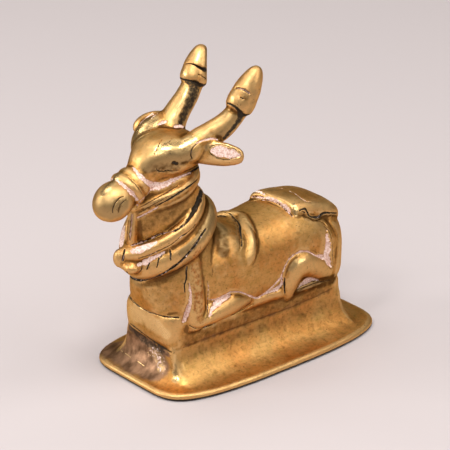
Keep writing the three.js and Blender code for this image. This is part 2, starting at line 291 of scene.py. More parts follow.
# %% Outlines of the base
foot_half_length = high.x / mm
foot_half_width = high.y / mm
foot_thickness = 2.1
skirt_height = 9.3
block_half_length = 30
block_half_width = 12.2
block_front_half_width = 10.7
front_corner = 3.2
back_corner = 1.8
END_ROUNDNESS = 2.8
SIDE_ROUNDNESS = 5.8
PER_SIDE = 32


def foot_outline(inset):
    """The foot's bowed rectangle, drawn in all round by an inset."""
    ring = []
    for step in range(PER_SIDE * 4):
        angle = (step + PER_SIDE / 2) / (PER_SIDE * 4) * 2 * math.pi
        long = foot_half_length - inset
        wide = foot_half_width - inset
        x = oval(angle, long, wide, END_ROUNDNESS)[0]
        y = oval(angle, long, wide, SIDE_ROUNDNESS)[1]
        ring.append((x, y))
    return ring


def block_outline(front_round, back_round):
    """The block's straight-sided outline, narrower in front, with a radius for each pair of corners."""
    corners = [(1, 1), (-1, 1), (-1, -1), (1, -1), (1, 1)]
    ring = []
    for step in range(PER_SIDE * 4):
        side, share = divmod(step, PER_SIDE)
        share /= PER_SIDE
        x = (corners[side][0] * (1 - share) + corners[side + 1][0] * share) * block_half_length
        y = (corners[side][1] * (1 - share) + corners[side + 1][1] * share) * block_half_width
        round_off = front_round if x < 0 else back_round
        dx = max(0, abs(x) - (block_half_length - round_off))
        dy = max(0, abs(y) - (block_half_width - round_off))
        reach = math.hypot(dx, dy)
        cut = 1 - round_off / reach if reach > round_off else 0
        backness = (x / block_half_length + 1) / 2
        taper = block_front_half_width / block_half_width * (1 - backness) + backness
        x -= math.copysign(dx * cut, x)
        y -= math.copysign(dy * cut, y)
        ring.append((x - BLOCK_FORWARD, y * taper))
    return ring


def level(ring, z):
    return [Vector((x * mm, y * mm, z * mm)) for x, y in ring]


print("outlines of", len(foot_outline(0)), "and", len(block_outline(front_corner, back_corner)), "points")

# %% [markdown]
# The rings go up in order: the foot's flat underside and its rounded edge, the hollow skirt, the block's
# sides and last its rounded top edge. The corners of the block get rounder from the skirt upwards.

# %% Base
UNDERSIDE_INSET = 0.7
EDGE_INSET = 0.8
TOP_INSET = 0.9
SKIRT_STEPS = 16
SKIRT_HOLLOW = 1.1
edge = foot_thickness / 2
rings = [level(foot_outline(edge * UNDERSIDE_INSET), 0)]
for lift in (-60, -30, 0, 30, 60):
    tilt = math.radians(lift)
    inset = edge * EDGE_INSET * (1 - math.cos(tilt))
    rings.append(level(foot_outline(inset), edge * (1 + math.sin(tilt))))
foot = foot_outline(edge * TOP_INSET)
block = block_outline(front_round=1.8, back_round=0.01)
for step in range(SKIRT_STEPS + 1):
    sweep = step / SKIRT_STEPS * math.pi / 2
    inward = math.sin(sweep) ** SKIRT_HOLLOW
    up = foot_thickness + skirt_height * (1 - math.cos(sweep))
    between_outlines = [
        (a[0] * (1 - inward) + b[0] * inward, a[1] * (1 - inward) + b[1] * inward)
        for a, b in zip(foot, block)
    ]
    rings.append(level(between_outlines, up))
block_foot = foot_thickness + skirt_height
for up, front, back in ((0.3, 2.4, 0.9), (1.2, 2.8, 1.4), (2.6, 3, 1.7), (4, front_corner, back_corner)):
    rings.append(level(block_outline(front, back), block_foot + up))
block_edge = 1.5
for lift in (30, 60, 85):
    tilt = math.radians(lift)
    share = 1 - block_edge * (1 - math.cos(tilt)) / block_half_width
    rounded = block_outline(front_corner, back_corner)
    drawn_in = [((x + BLOCK_FORWARD) * (1 + share) / 2 - BLOCK_FORWARD, y * share) for x, y in rounded]
    rings.append(level(drawn_in, BLOCK_TOP - block_edge * (1 - math.sin(tilt))))
wax.append(lump("base", rings))
print("base:", len(rings), "rings of", len(rings[0]), "points")

# %% [markdown]
# The trunk is a fat roll that dips behind the shoulders and falls away over the rump. The chest and neck
# stand on the block like a post, upright in front and leaning back behind, and carry the head. At their foot
# a cushion of wax rounds the front of the block and hangs a little over the skirt.

# %% Trunk, chest and neck
wax.append(upright_slices("trunk", [
    (-27, 18, -2, 8, 2.2),
    (-18, 22.5, -2, 11.8, 2.2),
    (-9, 23.6, -2, 12.9, 2.3),
    (-2, 21.4, -2, 12.9, 2.3),
    (6, 21.8, -2, 12.6, 2.3),
    (14, 22.4, -2, 12.8, 2.4),
    (22, 21.2, -2, 13, 2.4),
    (28.4, 17.4, -2, 12.2, 2.4),
    (32, 12.5, -1, 9.4, 2.3),
    (33.2, 8, 0, 5, 2.2),
], count=44))
wax.append(level_slices("chest_and_neck", [
    (-2, -30, -6, 10.2, 3.4, 0.96),
    (3, -31.4, -5, 11.3, 3.1, 0.95),
    (9, -32.9, -5, 12, 2.5, 0.9),
    (15, -33.2, -7, 11.4, 2.3, 0.82),
    (21, -33.2, -9.5, 9.8, 2.3, 0.6),
    (27, -34, -12, 8.6, 2.5, 0.42),
    (33, -34.5, -14.3, 7.9, 2.5, 0.42),
    (39, -34, -15.2, 7.2, 2.4, 0.5),
    (45, -32, -16.5, 6, 2, 0.7),
], count=40))
wax.append(level_slices("breast_cushion", [
    (-5.5, -30.2, -17, 10.5, 4.5, 1),
    (-4.4, -30.8, -17, 10.6, 4.5, 1),
    (-2, -31.2, -17, 10.7, 4.5, 1),
    (1, -31.4, -17, 10.7, 4.4, 1),
    (3.2, -31.1, -17, 10.5, 4.2, 1),
    (4.8, -30, -17, 10, 4, 1),
], count=20))
wax.append(limb("dewlap", [
    (-33.4, 0, 36, 1.8, 1.4),
    (-34.2, 0, 33, 1.8, 1.5),
    (-34.6, 0, 29, 1.8, 1.4),
    (-35, 0, 25.5, 1.8, 1.4),
    (-34.2, 0, 22, 1.6, 1.4),
], count=12, power=3.4))
print("lumps so far:", [piece.name for piece in wax])

# %% [markdown]
# The head is a thick roll that is broad at the brow and runs down into a narrow nose, with a round egg for
# the muzzle. Two thin coils side by side make the noseband, with a fine groove left between them.

# %% Head
wax.append(limb("head", [
    (-12.6, 0, 48, 1.2, 3.4),
    (-14.8, 0, 47.6, 3.4, 6.8),
    (-19, 0, 47.2, 4.7, 8),
    (-24, 0, 47.3, 5.5, 8.5),
    (-27.4, 0, 46.1, 5.9, 7.1),
    (-30.4, 0, 44.4, 4.9, 5.1),
    (-32.8, 0, 42.8, 3.5, 4),
    (-36, 0, 40.8, 2.9, 3.6),
    (-39, 0, 39, 2.9, 3.6),
], count=32, power=2.6, sides=40))
left_brow = [
    (-28.5, -3.2, 46.8, 2.2, 2.4),
    (-25, -4.8, 48, 3.2, 3.4),
    (-21, -6, 48.8, 3.8, 3.6),
    (-17, -6.8, 49.8, 3.8, 3.6),
    (-14.5, -7, 50.6, 3, 3),
]
right_brow = [
    (-28.4, 4.6, 46.8, 2.5, 2.5),
    (-26, 6.6, 48.7, 3, 3),
    (-22.4, 8, 50, 3.6, 3.6),
    (-18.6, 8, 50.8, 3.6, 3.6),
    (-14.5, 7, 51, 3, 3),
]
for rows in (left_brow, right_brow):
    wax.append(limb("brow", rows, count=20))
wax.append(egg("muzzle", -41.2, 0, 37.9, radii=(6, 5.4, 5), lean=-30))
for up, proud in ((-1.2, 1.1), (1.2, 1.5)):
    wax.append(coil(
        "noseband", x=-35.4, z=40.8, half_length=3.6, half_width=4.1, lean=120,
        up=up, half_height=1.6, proud=proud
    ))
print("noseband:", [round(v * 1000, 1) for v in wax[-1].dimensions], "mm")

# %% [markdown]
# Each horn is a bent rod with a bud on its end. The left horn sweeps lower than the right one, as in the
# photograph. The buds are turned shapes with a shoulder, the right one filed flat on its inner side. Their
# grooves are cut later, because the real ones go only part of the way round.

# %% Horns
bud_profile = [
    (0, 2.3), (0.03, 3.3), (0.09, 3.75), (0.22, 3.95), (0.39, 3.7), (0.5, 3.6),
    (0.7, 2.95), (0.86, 2.15), (0.94, 1.5), (0.985, 0.8), (1, 0.15),
]
shafts = {
    -1: [
        (-20, -4.6, 47.6, 3.6, 3.6),
        (-17.2, -6.6, 50.3, 3.8, 3.8),
        (-13.9, -7.6, 52, 3.5, 3.5),
        (-10.4, -8.8, 54.1, 3.2, 3.2),
        (-7.3, -9.9, 57.4, 2.8, 2.8),
        (-6, -10.2, 59.6, 2.8, 2.8),
    ],
    1: [
        (-18.6, 4.6, 47.8, 3.8, 3.8),
        (-15.8, 6.6, 51.6, 3.8, 3.8),
        (-12.8, 7.5, 54.2, 3.4, 3.4),
        (-9.3, 8.3, 56.8, 3.1, 3.1),
        (-6.4, 9.3, 59.4, 2.9, 2.9),
        (-5.8, 9.5, 61, 2.8, 2.8),
    ],
}
FLAT_SIDE = 3.1
FLAT_AT = 0.3
tips = {-1: Vector((-1, -11.5, 69)), 1: Vector((-1.3, 10.9, 69.2))}
for side, shaft in shafts.items():
    wax.append(limb("horn_shaft", shaft, count=24, sides=32))
    foot_of_bud = Vector(shaft[4][:3])
    tip = tips[side]
    rows = []
    for share, radius in bud_profile:
        centre = foot_of_bud.lerp(tip, share)
        rows.append((*centre, radius, radius))
    wax.append(limb("horn_bud", rows, count=36, sides=40))
    if side == 1:
        for vertex in wax[-1].data.vertices:
            past = (vertex.co - place(*foot_of_bud.lerp(tip, FLAT_AT))).dot(camera_right) - FLAT_SIDE * mm
            vertex.co -= camera_right * max(past, 0)
print("horn tips at", [tuple(round(v, 4) for v in place(*tip)) for tip in tips.values()])

# %% [markdown]
# The ears are thick leaves. The left one lies level and swept back, and the right one is set higher and
# turned forward, so that from the photograph's side only its back edge shows.

# %% Ears
wax.append(limb("left_ear", [
    (-21, -5, 47.8, 1.5, 2.6),
    (-18, -8.4, 48, 1.8, 3.2),
    (-15, -12, 48, 1.8, 3.5),
    (-12.6, -15, 47.7, 1.5, 2.8),
    (-11.4, -16.6, 47.4, 1.1, 1.8),
    (-11, -17.1, 47.3, 0.4, 0.6),
], count=24, across=(0, 0, 1)))
wax.append(limb("right_ear", [
    (-19, 5, 50.6, 1.8, 2.8),
    (-18.6, 8, 51.7, 1.8, 3.2),
    (-19.8, 10.4, 51.4, 1.8, 3.1),
    (-21.6, 12.3, 50.4, 1.5, 2.5),
    (-22.8, 13.4, 49.4, 1, 1.5),
    (-23.1, 13.8, 49, 0.3, 0.4),
], count=24, across=(0.5, 0, 0.86)))
print("ears:", [[round(v * 1000, 1) for v in ear.dimensions] for ear in wax[-2:]], "mm")

# %% [markdown]
# A strap runs under the jaw and up behind the horns, and a heavy collar of two rolls lies on the shoulders,
# with a small bell at the throat. Strap and collar are coils of wax pressed on to the neck, and the bell is
# four small balls.

# %% Strap, collar and bell
for up, half_height, proud in ((-1.3, 1.2, 1.6), (0.4, 1.3, 1.8)):
    wax.append(coil(
        "throat_strap", x=-25, z=38, half_length=9.8, half_width=7.2, lean=20,
        up=up, half_height=half_height, proud=proud, share=0.55
    ))
wax.append(coil(
    "collar_broad", x=-24.1, z=25, half_length=12, half_width=9.7, lean=30,
    up=-2.1, half_height=3.5, proud=3.1, share=0.86
))
wax.append(coil(
    "collar_narrow", x=-24.4, z=25.6, half_length=11.8, half_width=8.9, lean=30,
    up=2.4, half_height=2.2, proud=2.4, share=0.72
))
wax.append(egg("bell", -38.3, 1.6, 20.2, radii=(1.8, 1.8, 2.7)))
wax.append(egg("bell_waist", -37.7, 0, 18.5, radii=(1.5, 1.7, 1.4)))
wax.append(egg("bell_eye", -37.6, -0.6, 21.4, radii=(0.9, 0.9, 1)))
wax.append(egg("bell_lobe", -37.2, -1.9, 18.3, radii=(2.1, 2.5, 1.7)))
print("broad roll of the collar:", [round(v * 1000, 1) for v in wax[-6].dimensions], "mm")

# %% [markdown]
# A fold of skin crosses the shoulders, a thick cloth lies over the rump, and the tail comes out from under
# it and hangs down the left side to the block.

# %% Shoulder fold, cloth and tail
fold = [
    (2.9, 0, 21, 1.2, 1.6),
    (1.9, -2, 21, 1.3, 1.7),
    (0.6, -4.6, 20.5, 1.35, 1.9),
    (-0.6, -6.9, 19.5, 1.4, 2.1),
    (-2, -9, 18.1, 1.4, 2.3),
    (-3.7, -10.9, 16.4, 1.3, 2.3),
    (-4.9, -11.8, 14.6, 1.1, 2),
    (-5.8, -12.2, 12.8, 0.7, 1.2),
]
for rows in (fold, other_side(fold)):
    wax.append(limb("shoulder_fold", rows, count=32, across=(1, 0, 0.2)))
cloth = upright_slices("rump_cloth", [
    (13.7, 22.4, 18.6, 6.4, 3),
    (14, 23.4, 17, 7.7, 3),
    (15, 24.2, 15.6, 8.5, 3),
    (19, 24, 14.6, 8.9, 3),
    (25.5, 22.7, 13.6, 9.3, 2.9),
    (29.5, 21.2, 13.4, 9.2, 2.9),
    (32.4, 19, 14, 8, 3),
    (33.4, 17.6, 15, 5.6, 3),
], count=40)
CLOTH_SLANT = 0.13
SLANT_BEGINS = 24
SLANT_RUN = 8
for vertex in cloth.data.vertices:
    forward_share = min(max((SLANT_BEGINS - vertex.co.x / mm) / SLANT_RUN, 0), 1)
    vertex.co.x -= CLOTH_SLANT * vertex.co.y * forward_share
wax.append(cloth)
wax.append(limb("tail", [
    (28.4, -6.8, 16.4, 2, 3.2),
    (29.2, -9, 13.4, 1.8, 2.7),
    (29.4, -10.5, 10.4, 1.4, 1.9),
    (29, -11.2, 7, 1.3, 1.6),
    (28.4, -11.5, 2.4, 1.3, 1.5),
    (27.6, -10.8, -0.6, 1.2, 1.4),
], count=24, across=(0.93, 0.37, 0), power=2.6))
print("cloth:", [round(v * 1000, 1) for v in cloth.dimensions], "mm")

# %% [markdown]
# The legs are folded flat against the body. In front, the upper leg comes straight down the chest and the
# shin lies back along the block; behind, the shank rises to a sharp hock and falls again.

# %% Legs
upper_foreleg = [
    (-22, 8.4, 22, 2.2, 1.6),
    (-22.4, 9.8, 15, 2.6, 1.8),
    (-22.8, 10.9, 9, 2.8, 2),
    (-22.8, 11.2, 3, 2.8, 2),
    (-22.8, 10.6, -1, 2.4, 1.6),
]
shin = [
    (-24.6, 10.6, 0.6, 0.8, 1),
    (-22.6, 11.4, 1.2, 1.9, 2),
    (-18.5, 11.9, 2.3, 2.9, 2.3),
    (-14, 12.1, 2.7, 3, 2.4),
    (-10, 12, 3, 2.7, 2.2),
    (-6.5, 11.8, 2.6, 1.7, 1.6),
    (-3.6, 11.6, 2, 0.4, 0.6),
]
hind_leg = [
    (10.4, 9.8, -2.8, 1.4, 0.9),
    (10.4, 10.5, -1.6, 2.6, 1.7),
    (10.8, 11.3, 3, 3.3, 2.3),
    (12.6, 11.8, 6.3, 3.8, 2.6),
    (15.4, 11.9, 7.2, 4, 2.7),
    (18.8, 11.8, 5.9, 3.6, 2.6),
    (22.6, 11.2, 3.3, 3.2, 2.3),
    (27.5, 10.2, 1.2, 2.8, 2),
]
hind_foot = [
    (-9, 9.2, 0, 1.6, 2),
    (-4, 9.7, 0.6, 2.3, 2.2),
    (4, 9.9, 0.7, 2.4, 2.3),
    (10, 10, 0.2, 2.4, 2.3),
    (20, 10.1, -0.2, 2.4, 2.3),
    (29, 9.9, -0.6, 2.4, 2),
]
legs = {"foreleg": upper_foreleg, "shin": shin, "hind_leg": hind_leg, "hind_foot": hind_foot}
for name, rows in legs.items():
    wax.append(limb(name, rows, count=24))
    wax.append(limb(name, other_side(rows), count=24))
print(len(wax), "lumps of wax")

# %% [markdown]
# The lumps are now melted into one skin. A boolean union would keep hard seams where they cross; a voxel
# remesh welds them into one even mesh, and a few smoothing passes round the seams as a warm tool would.

# %% One skin
VOXEL = 0.42
deselect()
for piece in wax:
    piece.select_set(True)
bpy.context.view_layer.objects.active = wax[0]
bpy.ops.object.join()
bull = bpy.context.object
bull.name = "brass_bull"
remesh = bull.modifiers.new("weld", "REMESH")
remesh.mode = "VOXEL"
remesh.voxel_size = VOXEL * mm
bpy.ops.object.modifier_apply(modifier=remesh.name)
soften = bull.modifiers.new("soften", "SMOOTH")
soften.factor = 0.5
soften.iterations = 5
bpy.ops.object.modifier_apply(modifier=soften.name)
print("skin:", len(bull.data.polygons), "faces")

# %% [markdown]
# On the real casting the finest forms were cut and punched after the wax had cooled. Here they are strokes:
# each is drawn on the photograph as a few points with the tool's half width there, and thrown along the
# camera's rays on to the skin. A stroke can cut a groove, a flat-bottomed hollow or a ledge, and it can leave
# residue, tarnish, grime, rust, patina or polish behind. The tarnish, the grime and the patina also carry
# painted shade, and the polish also carries painted highlights. Most are repeated on the far side, mirrored
# and laid on to the metal there. Drawing the marks on the open skin in three dimensions would be exact too,
# but the photograph is where they can be read.

# %% Rays on to the skin
def skin_arrays():
    mesh = bull.data
    co = np.empty(len(mesh.vertices) * 3)
    mesh.vertices.foreach_get("co", co)
    normals = np.empty(len(mesh.vertices) * 3)
    mesh.vertex_normals.foreach_get("vector", normals)
    return co.reshape(-1, 3), normals.reshape(-1, 3)


def skin_tree():
    bull.data.calc_loop_triangles()
    corners = [vertex.co for vertex in bull.data.vertices]
    return BVHTree.FromPolygons(corners, [tuple(face.vertices) for face in bull.data.polygons])


tree = skin_tree()


def hit(px, py):
    """Where the camera's ray through a point of the photograph meets the skin: point and normal."""
    middle = PICTURE / 2
    ray = camera_right * (px - middle) / FOCAL_PIXELS + camera_up * (middle - py) / FOCAL_PIXELS - camera_back
    point, normal, _, _ = tree.ray_cast(eye, ray.normalized())
    return point, normal


print("the ray through the picture's middle meets the skin at", hit(PICTURE / 2, PICTURE / 2)[0])

# %% [markdown]
# A stroke keeps its centres on the skin, their normals and its half widths. A hand presses unevenly, so the
# width swells and shrinks a little along the way.

# %% Drawing a stroke
MIDDLE = 2.5 * mm
STROKE_STEP = 0.5
LEAST_HALF_WIDTH = 0.15
HAND_UNEVENNESS = 0.5
HAND_WAVE = 1.1 * mm
strokes = []


def stroke(name, points, depth=0, tool="groove", both=True, spread=1.0, **stains):
    """Points are x, y and half width in the photograph's pixels; depth is in millimetres."""
    length = sum(math.dist(a[:2], b[:2]) for a, b in zip(points, points[1:]))
    rows = between(points, max(2, round(length / STROKE_STEP))) if len(points) > 1 else points
    centres, normals, radii = [], [], []
    for px, py, half_width in rows:
        point, normal = hit(px, py)
        if point is None:
            continue
        centres.append(point)
        normals.append(normal)
        pressure = 1 + HAND_UNEVENNESS * noise.noise(point / HAND_WAVE)
        away = (eye - point).dot(camera_back)
        radii.append(max(half_width, LEAST_HALF_WIDTH) * pressure * away / FOCAL_PIXELS)
    if not centres:
        print(name, "misses the skin")
    sides = [(1, centres, normals, radii)]
    if both:
        kept = [i for i, p in enumerate(centres) if p.y < -MIDDLE]
        mirrored = [Vector((centres[i].x, -centres[i].y, centres[i].z)) for i in kept]
        found = [tree.find_nearest(point) for point in mirrored]
        sides.append((-1, [spot[0] for spot in found], [spot[1] for spot in found], [radii[i] for i in kept]))
    for turn_of_side, points_on_skin, normals_on_skin, widths in sides:
        if points_on_skin:
            strokes.append({
                "centres": np.array(points_on_skin), "normals": np.array(normals_on_skin),
                "radii": np.array(widths), "depth": depth * mm, "tool": tool, "spread": spread,
                "stains": stains, "turn": turn_of_side,
            })


print("a stroke's point every", STROKE_STEP, "pixels")

# %% [markdown]
# To cut or stain, the points of the skin under a stroke are needed. A stroke in front must not reach through
# a thin ear to its back, so only points that face the stroke's own way are kept.

# %% Finding the skin under a stroke
def near(mark, co, normals, spread=1.0, beyond=0.0):
    """The points of the skin under a stroke: their numbers, share of the half width, and nearest centre."""
    radii = mark["radii"] * spread + beyond
    centres = mark["centres"]
    lowest = centres.min(0) - radii.max()
    highest = centres.max(0) + radii.max()
    inside = np.flatnonzero(((co > lowest) & (co < highest)).all(1))
    if not len(inside):
        return inside, inside, inside
    away = np.linalg.norm(co[inside][:, None, :] - centres[None], axis=2)
    share = away / radii[None]
    best = share.argmin(1)
    share = share[np.arange(len(inside)), best]
    facing = (normals[inside] * mark["normals"][best]).sum(1) > 0
    keep = (share < 1) & facing
    return inside[keep], share[keep], best[keep]


print("skin ready for strokes:", len(bull.data.vertices), "points")

# %% [markdown]
# Head: two fine arcs on the muzzle, the line round the noseband, the recesses beside it that hold pale
# residue, brow cuts, the worn eye and the slit of the cheek. The worn eye and the cheek are darkened with
# painted shade.

# %% Strokes of the head
stroke("lip_outer", [
    (123.5, 196.2, 0.3), (119.4, 198.2, 0.5), (115.2, 203.4, 0.5), (112.7, 209, 0.5),
    (112.8, 212.8, 0.3),
], depth=0.3, tarnish=0.9)
stroke("lip_inner", [
    (126.3, 199.6, 0.3), (122.9, 202, 0.45), (119.6, 206.2, 0.45), (118.4, 212.4, 0.3),
], depth=0.3, tarnish=0.9)
stroke("muzzle_groove", [
    (116, 179.6, 1), (118, 181, 1.4), (122.9, 184.9, 1.9), (129.2, 190.4, 2.1), (134.4, 195.8, 2),
    (137.4, 200.4, 1.5),
], depth=0.5, tool="hollow", spread=1.25, residue=1)
stroke("noseband_line", [
    (127.6, 176.4, 0.3), (133.5, 182.4, 0.5), (138.6, 188.2, 0.5), (142.6, 194.6, 0.4),
], depth=0.4, tarnish=1)
stroke("noseband_line_low", [
    (139.8, 186, 0.3), (142.6, 189.4, 0.4), (145.2, 193.4, 0.3),
], depth=0.25, tarnish=0.8)
stroke("cheek_recess", [
    (133.2, 167.6, 0.9), (134.6, 169.4, 1.3), (139.8, 175.4, 2.2), (146.2, 181.2, 2.9), (151.3, 185, 4),
    (157, 186.2, 4.4), (164.1, 184.8, 3.2), (174.3, 180, 1.8), (183, 176, 1.3), (190.9, 172.6, 0.9),
], depth=0.45, tool="hollow", spread=1.2, residue=1)
stroke("band_end", [
    (151.6, 189, 1.8), (146.4, 195.6, 1.5), (141.2, 200.8, 1.2), (137.4, 205.4, 0.8),
], depth=0.3, tool="hollow", residue=1)
stroke("brow_cut", [
    (162.4, 138.8, 0.3), (160, 142.6, 0.5), (157, 148.4, 0.5), (154.4, 154.6, 0.3),
], depth=0.28, tarnish=0.8)
stroke("brow_cut_short", [
    (171.8, 138.4, 0.3), (169.6, 141.4, 0.45), (167.3, 144.8, 0.3),
], depth=0.25, tarnish=0.8)
stroke("worn_eye", [(173.6, 162.8, 2.8), (176.4, 163.6, 2.6)], depth=0.25, tarnish=0.75)
stroke("cheek_slit", [
    (156.6, 169.2, 0.5), (158.6, 171, 0.9), (162, 171.5, 0.6), (168, 171, 0.6), (174, 171, 0.6),
    (178.4, 170.4, 0.4),
], depth=0.35, tarnish=1)
stroke("cheek_shade", [
    (147, 168, 4), (157, 173.5, 6), (168, 172.5, 6), (179, 167, 5), (188, 162, 4),
], tarnish=0.36)
stroke("jaw_line", [
    (178, 177.4, 0.5), (186, 174, 0.9), (193.4, 170.4, 1.1), (200, 166.2, 1.1), (203, 164.4, 0.8),
], depth=0.35, spread=1.4, tarnish=1)
print(len(strokes), "strokes with the head")

# %% [markdown]
# Ears and crown: the left ear's shallow hollow with a scribed line round it, the creases where ears and
# horns leave the head, and the pale residue between the horns and along the right ear.

# %% Strokes of the ears and crown
stroke("ear_hollow", [
    (213.5, 150.8, 3.8), (218, 151.2, 5.8), (223, 152.4, 6.4), (229, 153.6, 5.8), (235, 154.8, 4.2),
    (239, 155.6, 2),
], depth=0.4, tool="hollow", residue=1, both=False)
stroke("ear_line", [
    (208.6, 150.4, 0.3), (211.4, 146.6, 0.5), (217, 144.6, 0.5), (224, 145, 0.5), (231.7, 147.6, 0.5),
    (238, 151, 0.5), (241.4, 154.4, 0.4), (237, 157.4, 0.5), (231, 159.2, 0.5), (224, 159.6, 0.5),
    (217.5, 158, 0.5), (212, 155, 0.5), (208.6, 150.4, 0.3),
], depth=0.25, tarnish=0.9, both=False)
stroke("ear_root", [
    (192, 158.6, 0.8), (190.9, 153.7, 1), (193.2, 147.4, 1.1), (199, 141.8, 1),
], depth=0.35, tarnish=0.6, residue=0.3)
stroke("horn_crease", [
    (197, 142.8, 1), (203, 140.4, 1.2), (208, 139.2, 1.5), (213, 138.6, 1.3), (217.5, 139.6, 0.8),
], depth=0.35, residue=0.85)
stroke("crown_pink", [
    (158.4, 124.4, 1.8), (162, 122.6, 2.6), (165.6, 121.4, 1.8),
], depth=0.3, tool="hollow", residue=0.9, both=False)
stroke("crown_pink_inner", [
    (174.6, 126.4, 1.4), (179, 126, 2.2), (184, 126.6, 1.6),
], depth=0.3, tool="hollow", residue=0.85, both=False)
stroke("right_ear_rim", [
    (138.6, 125, 0.6), (144, 119.6, 1.1), (149, 115.6, 1.1), (152.6, 113, 0.6),
], depth=0.2, residue=0.9, both=False)
stroke("right_ear_fold", [
    (151.4, 118.4, 0.4), (154.6, 115.6, 0.6), (158, 113, 0.4),
], depth=0.2, residue=0.8, both=False)
print(len(strokes), "strokes with the ears")

# %% [markdown]
# Horns: the grooves and cuts of the buds, which differ from one bud to the other, and the step under each
# bud. The black and brown under the buds, in the narrow places behind them and down the shaded side of each
# horn are painted shade with some tarnish.

# %% Strokes of the horns
stroke("right_bud_groove", [
    (183.4, 64, 0.4), (188.5, 63.4, 0.5), (193.5, 64.4, 0.8), (198, 66.6, 1.4), (203, 69, 2.1),
    (208, 70.2, 2.8),
], depth=0.7, tarnish=1, both=False)
stroke("right_bud_cuts", [
    (198.4, 74.4, 0.4), (202.5, 76.4, 0.5), (206.4, 79, 0.4),
], depth=0.2, tarnish=0.9, both=False)
stroke("right_knob_edge", [
    (180, 78, 0.8), (184, 79.4, 0.9), (190, 81, 1), (196, 83, 1.3), (202, 85.4, 1.5), (206.5, 84.6, 1.2),
], depth=0.35, spread=1.7, tarnish=1, both=False)
stroke("right_horn_black", [
    (186, 81, 2.4), (190, 83, 4.6), (195, 86, 7.6), (195, 92, 8.6), (192, 100, 8), (188, 108, 7),
    (184, 116, 6), (181, 122, 5),
], depth=0.12, tool="hollow", tarnish=0.7, both=False)
stroke("right_horn_shade", [
    (190, 92, 10), (187, 101, 10), (182, 111, 10), (178, 121, 8),
], grime=0.9, both=False)
stroke("left_bud_groove", [
    (235.6, 87.8, 0.7), (240, 88.4, 1), (244.5, 90, 1.2), (249.4, 93.2, 0.8),
], depth=0.6, tool="hollow", tarnish=0.6, residue=0.55, both=False)
stroke("left_bud_flaw", [
    (240.4, 97.4, 0.5), (242.6, 98.6, 0.8), (245, 98.4, 0.4),
], depth=0.25, tarnish=0.8, both=False)
stroke("left_knob_edge", [
    (227.4, 103.2, 0.8), (231, 104.4, 0.9), (236, 107.5, 1), (240, 111.6, 1.3), (244, 115, 1.6),
    (249.4, 115, 1),
], depth=0.4, spread=1.7, tarnish=1, both=False)
stroke("left_horn_black", [
    (240, 113, 3.4), (241, 117, 5), (237, 123.6, 4.4), (231, 131, 4), (225, 138, 3.4),
], depth=0.1, tool="hollow", tarnish=0.8, both=False)
stroke("left_horn_shade", [
    (238, 114, 7), (234, 121, 8), (228, 129, 8), (221, 136, 7),
], grime=0.75, both=False)
for bud_spot in ([(249.4, 79.6, 1.2)], [(254.6, 84.6, 1.4)], [(243, 112, 2)], [(247.4, 108, 1.4)]):
    stroke("bud_spot", bud_spot, rust=0.9, both=False)
print(len(strokes), "strokes with the horns")

# %% [markdown]
# Neck: the lines of the throat strap, its undercut edge with the pale residue below, and the groove beside
# the dewlap with painted shade along it.

# %% Strokes of the neck
stroke("strap_line_high", [
    (136.2, 209.6, 0.3), (145, 204.6, 0.5), (153.9, 199.6, 0.5), (162, 195, 0.5), (170, 190.4, 0.5),
    (178, 185.6, 0.4),
], depth=0.35, tarnish=0.7)
stroke("strap_line_low", [
    (139, 213, 0.3), (147.6, 208, 0.5), (156.2, 203.1, 0.5), (167.7, 196.7, 0.4),
], depth=0.35, tarnish=0.7)
stroke("strap_edge", [
    (156, 206.4, 0.6), (167.7, 200, 0.8), (180.3, 192.2, 0.9), (191.8, 184.2, 0.9), (197.4, 179.4, 0.8),
], depth=0.4, spread=1.5, tarnish=0.9)
stroke("strap_pink", [
    (137.4, 217.8, 0.8), (141, 216.4, 1.3), (149.3, 212, 1.2), (158, 207.4, 0.8),
], depth=0.25, tool="hollow", residue=0.9)
stroke("dewlap_groove", [
    (131.8, 215, 1), (131, 222, 1.3), (130.2, 232, 1.4), (129.8, 240, 1.2),
], depth=0.6, tool="hollow", residue=0.85, both=False)
stroke("dewlap_shade", [
    (128.8, 220, 1), (127.4, 231, 1.3), (127, 241, 1.1),
], depth=0.1, tarnish=0.6, both=False)
print(len(strokes), "strokes with the neck")

# %% [markdown]
# Collar: the undercut edge above it, pale in front and black behind, the crease between its two rolls, its
# petal-like cuts, the edge under it, and the bell's hole. The black behind and under the collar is painted
# shade with some tarnish, and the shoulder beside it gets painted shade as well.

# %% Strokes of the collar
stroke("collar_top_front", [
    (131.5, 245.6, 0.8), (134.4, 244.4, 1), (140.1, 242.7, 1.1), (149.3, 239.2, 1.2),
    (158.5, 234.8, 1.3), (165.4, 232.8, 1.2), (174.6, 230.4, 1),
], depth=0.6, residue=0.5, tarnish=0.45)
stroke("collar_top_back", [
    (174.6, 230.4, 1), (180, 227.4, 1.1), (184.9, 223.7, 1.3), (190.6, 216.3, 1.8), (195.2, 208.2, 2.4),
    (199, 199.4, 2.8), (201.6, 190.4, 2),
], depth=0.6, tool="hollow", spread=1.35, tarnish=1)
stroke("collar_ledge", [
    (132, 251, 3), (137, 250, 4.4), (144, 247.6, 4.6), (151, 244.6, 3.6), (156, 242.4, 2),
], depth=0.15, tool="hollow", residue=1)
stroke("collar_crease", [
    (139, 258.6, 0.8), (142.4, 257.6, 1), (149.3, 255.3, 1.1), (159.6, 250.7, 1.1), (170, 245.5, 0.9),
    (176.8, 240.4, 0.8), (182.6, 235.8, 0.9), (188.3, 232.4, 0.7), (194, 226.8, 0.5),
], depth=0.55, residue=0.4, tarnish=0.5)
stroke("collar_pink", [
    (138.5, 265, 2.4), (145, 262.4, 3.6), (151, 258.8, 3), (158, 255.6, 2.2), (164, 252.4, 1.4),
], residue=0.85)
for crease_slot in ([(183, 236, 0.8), (187, 233.4, 0.8)], [(193.6, 227.6, 0.7), (195, 224.8, 0.7)]):
    stroke("crease_slot", crease_slot, depth=0.4, tarnish=1)
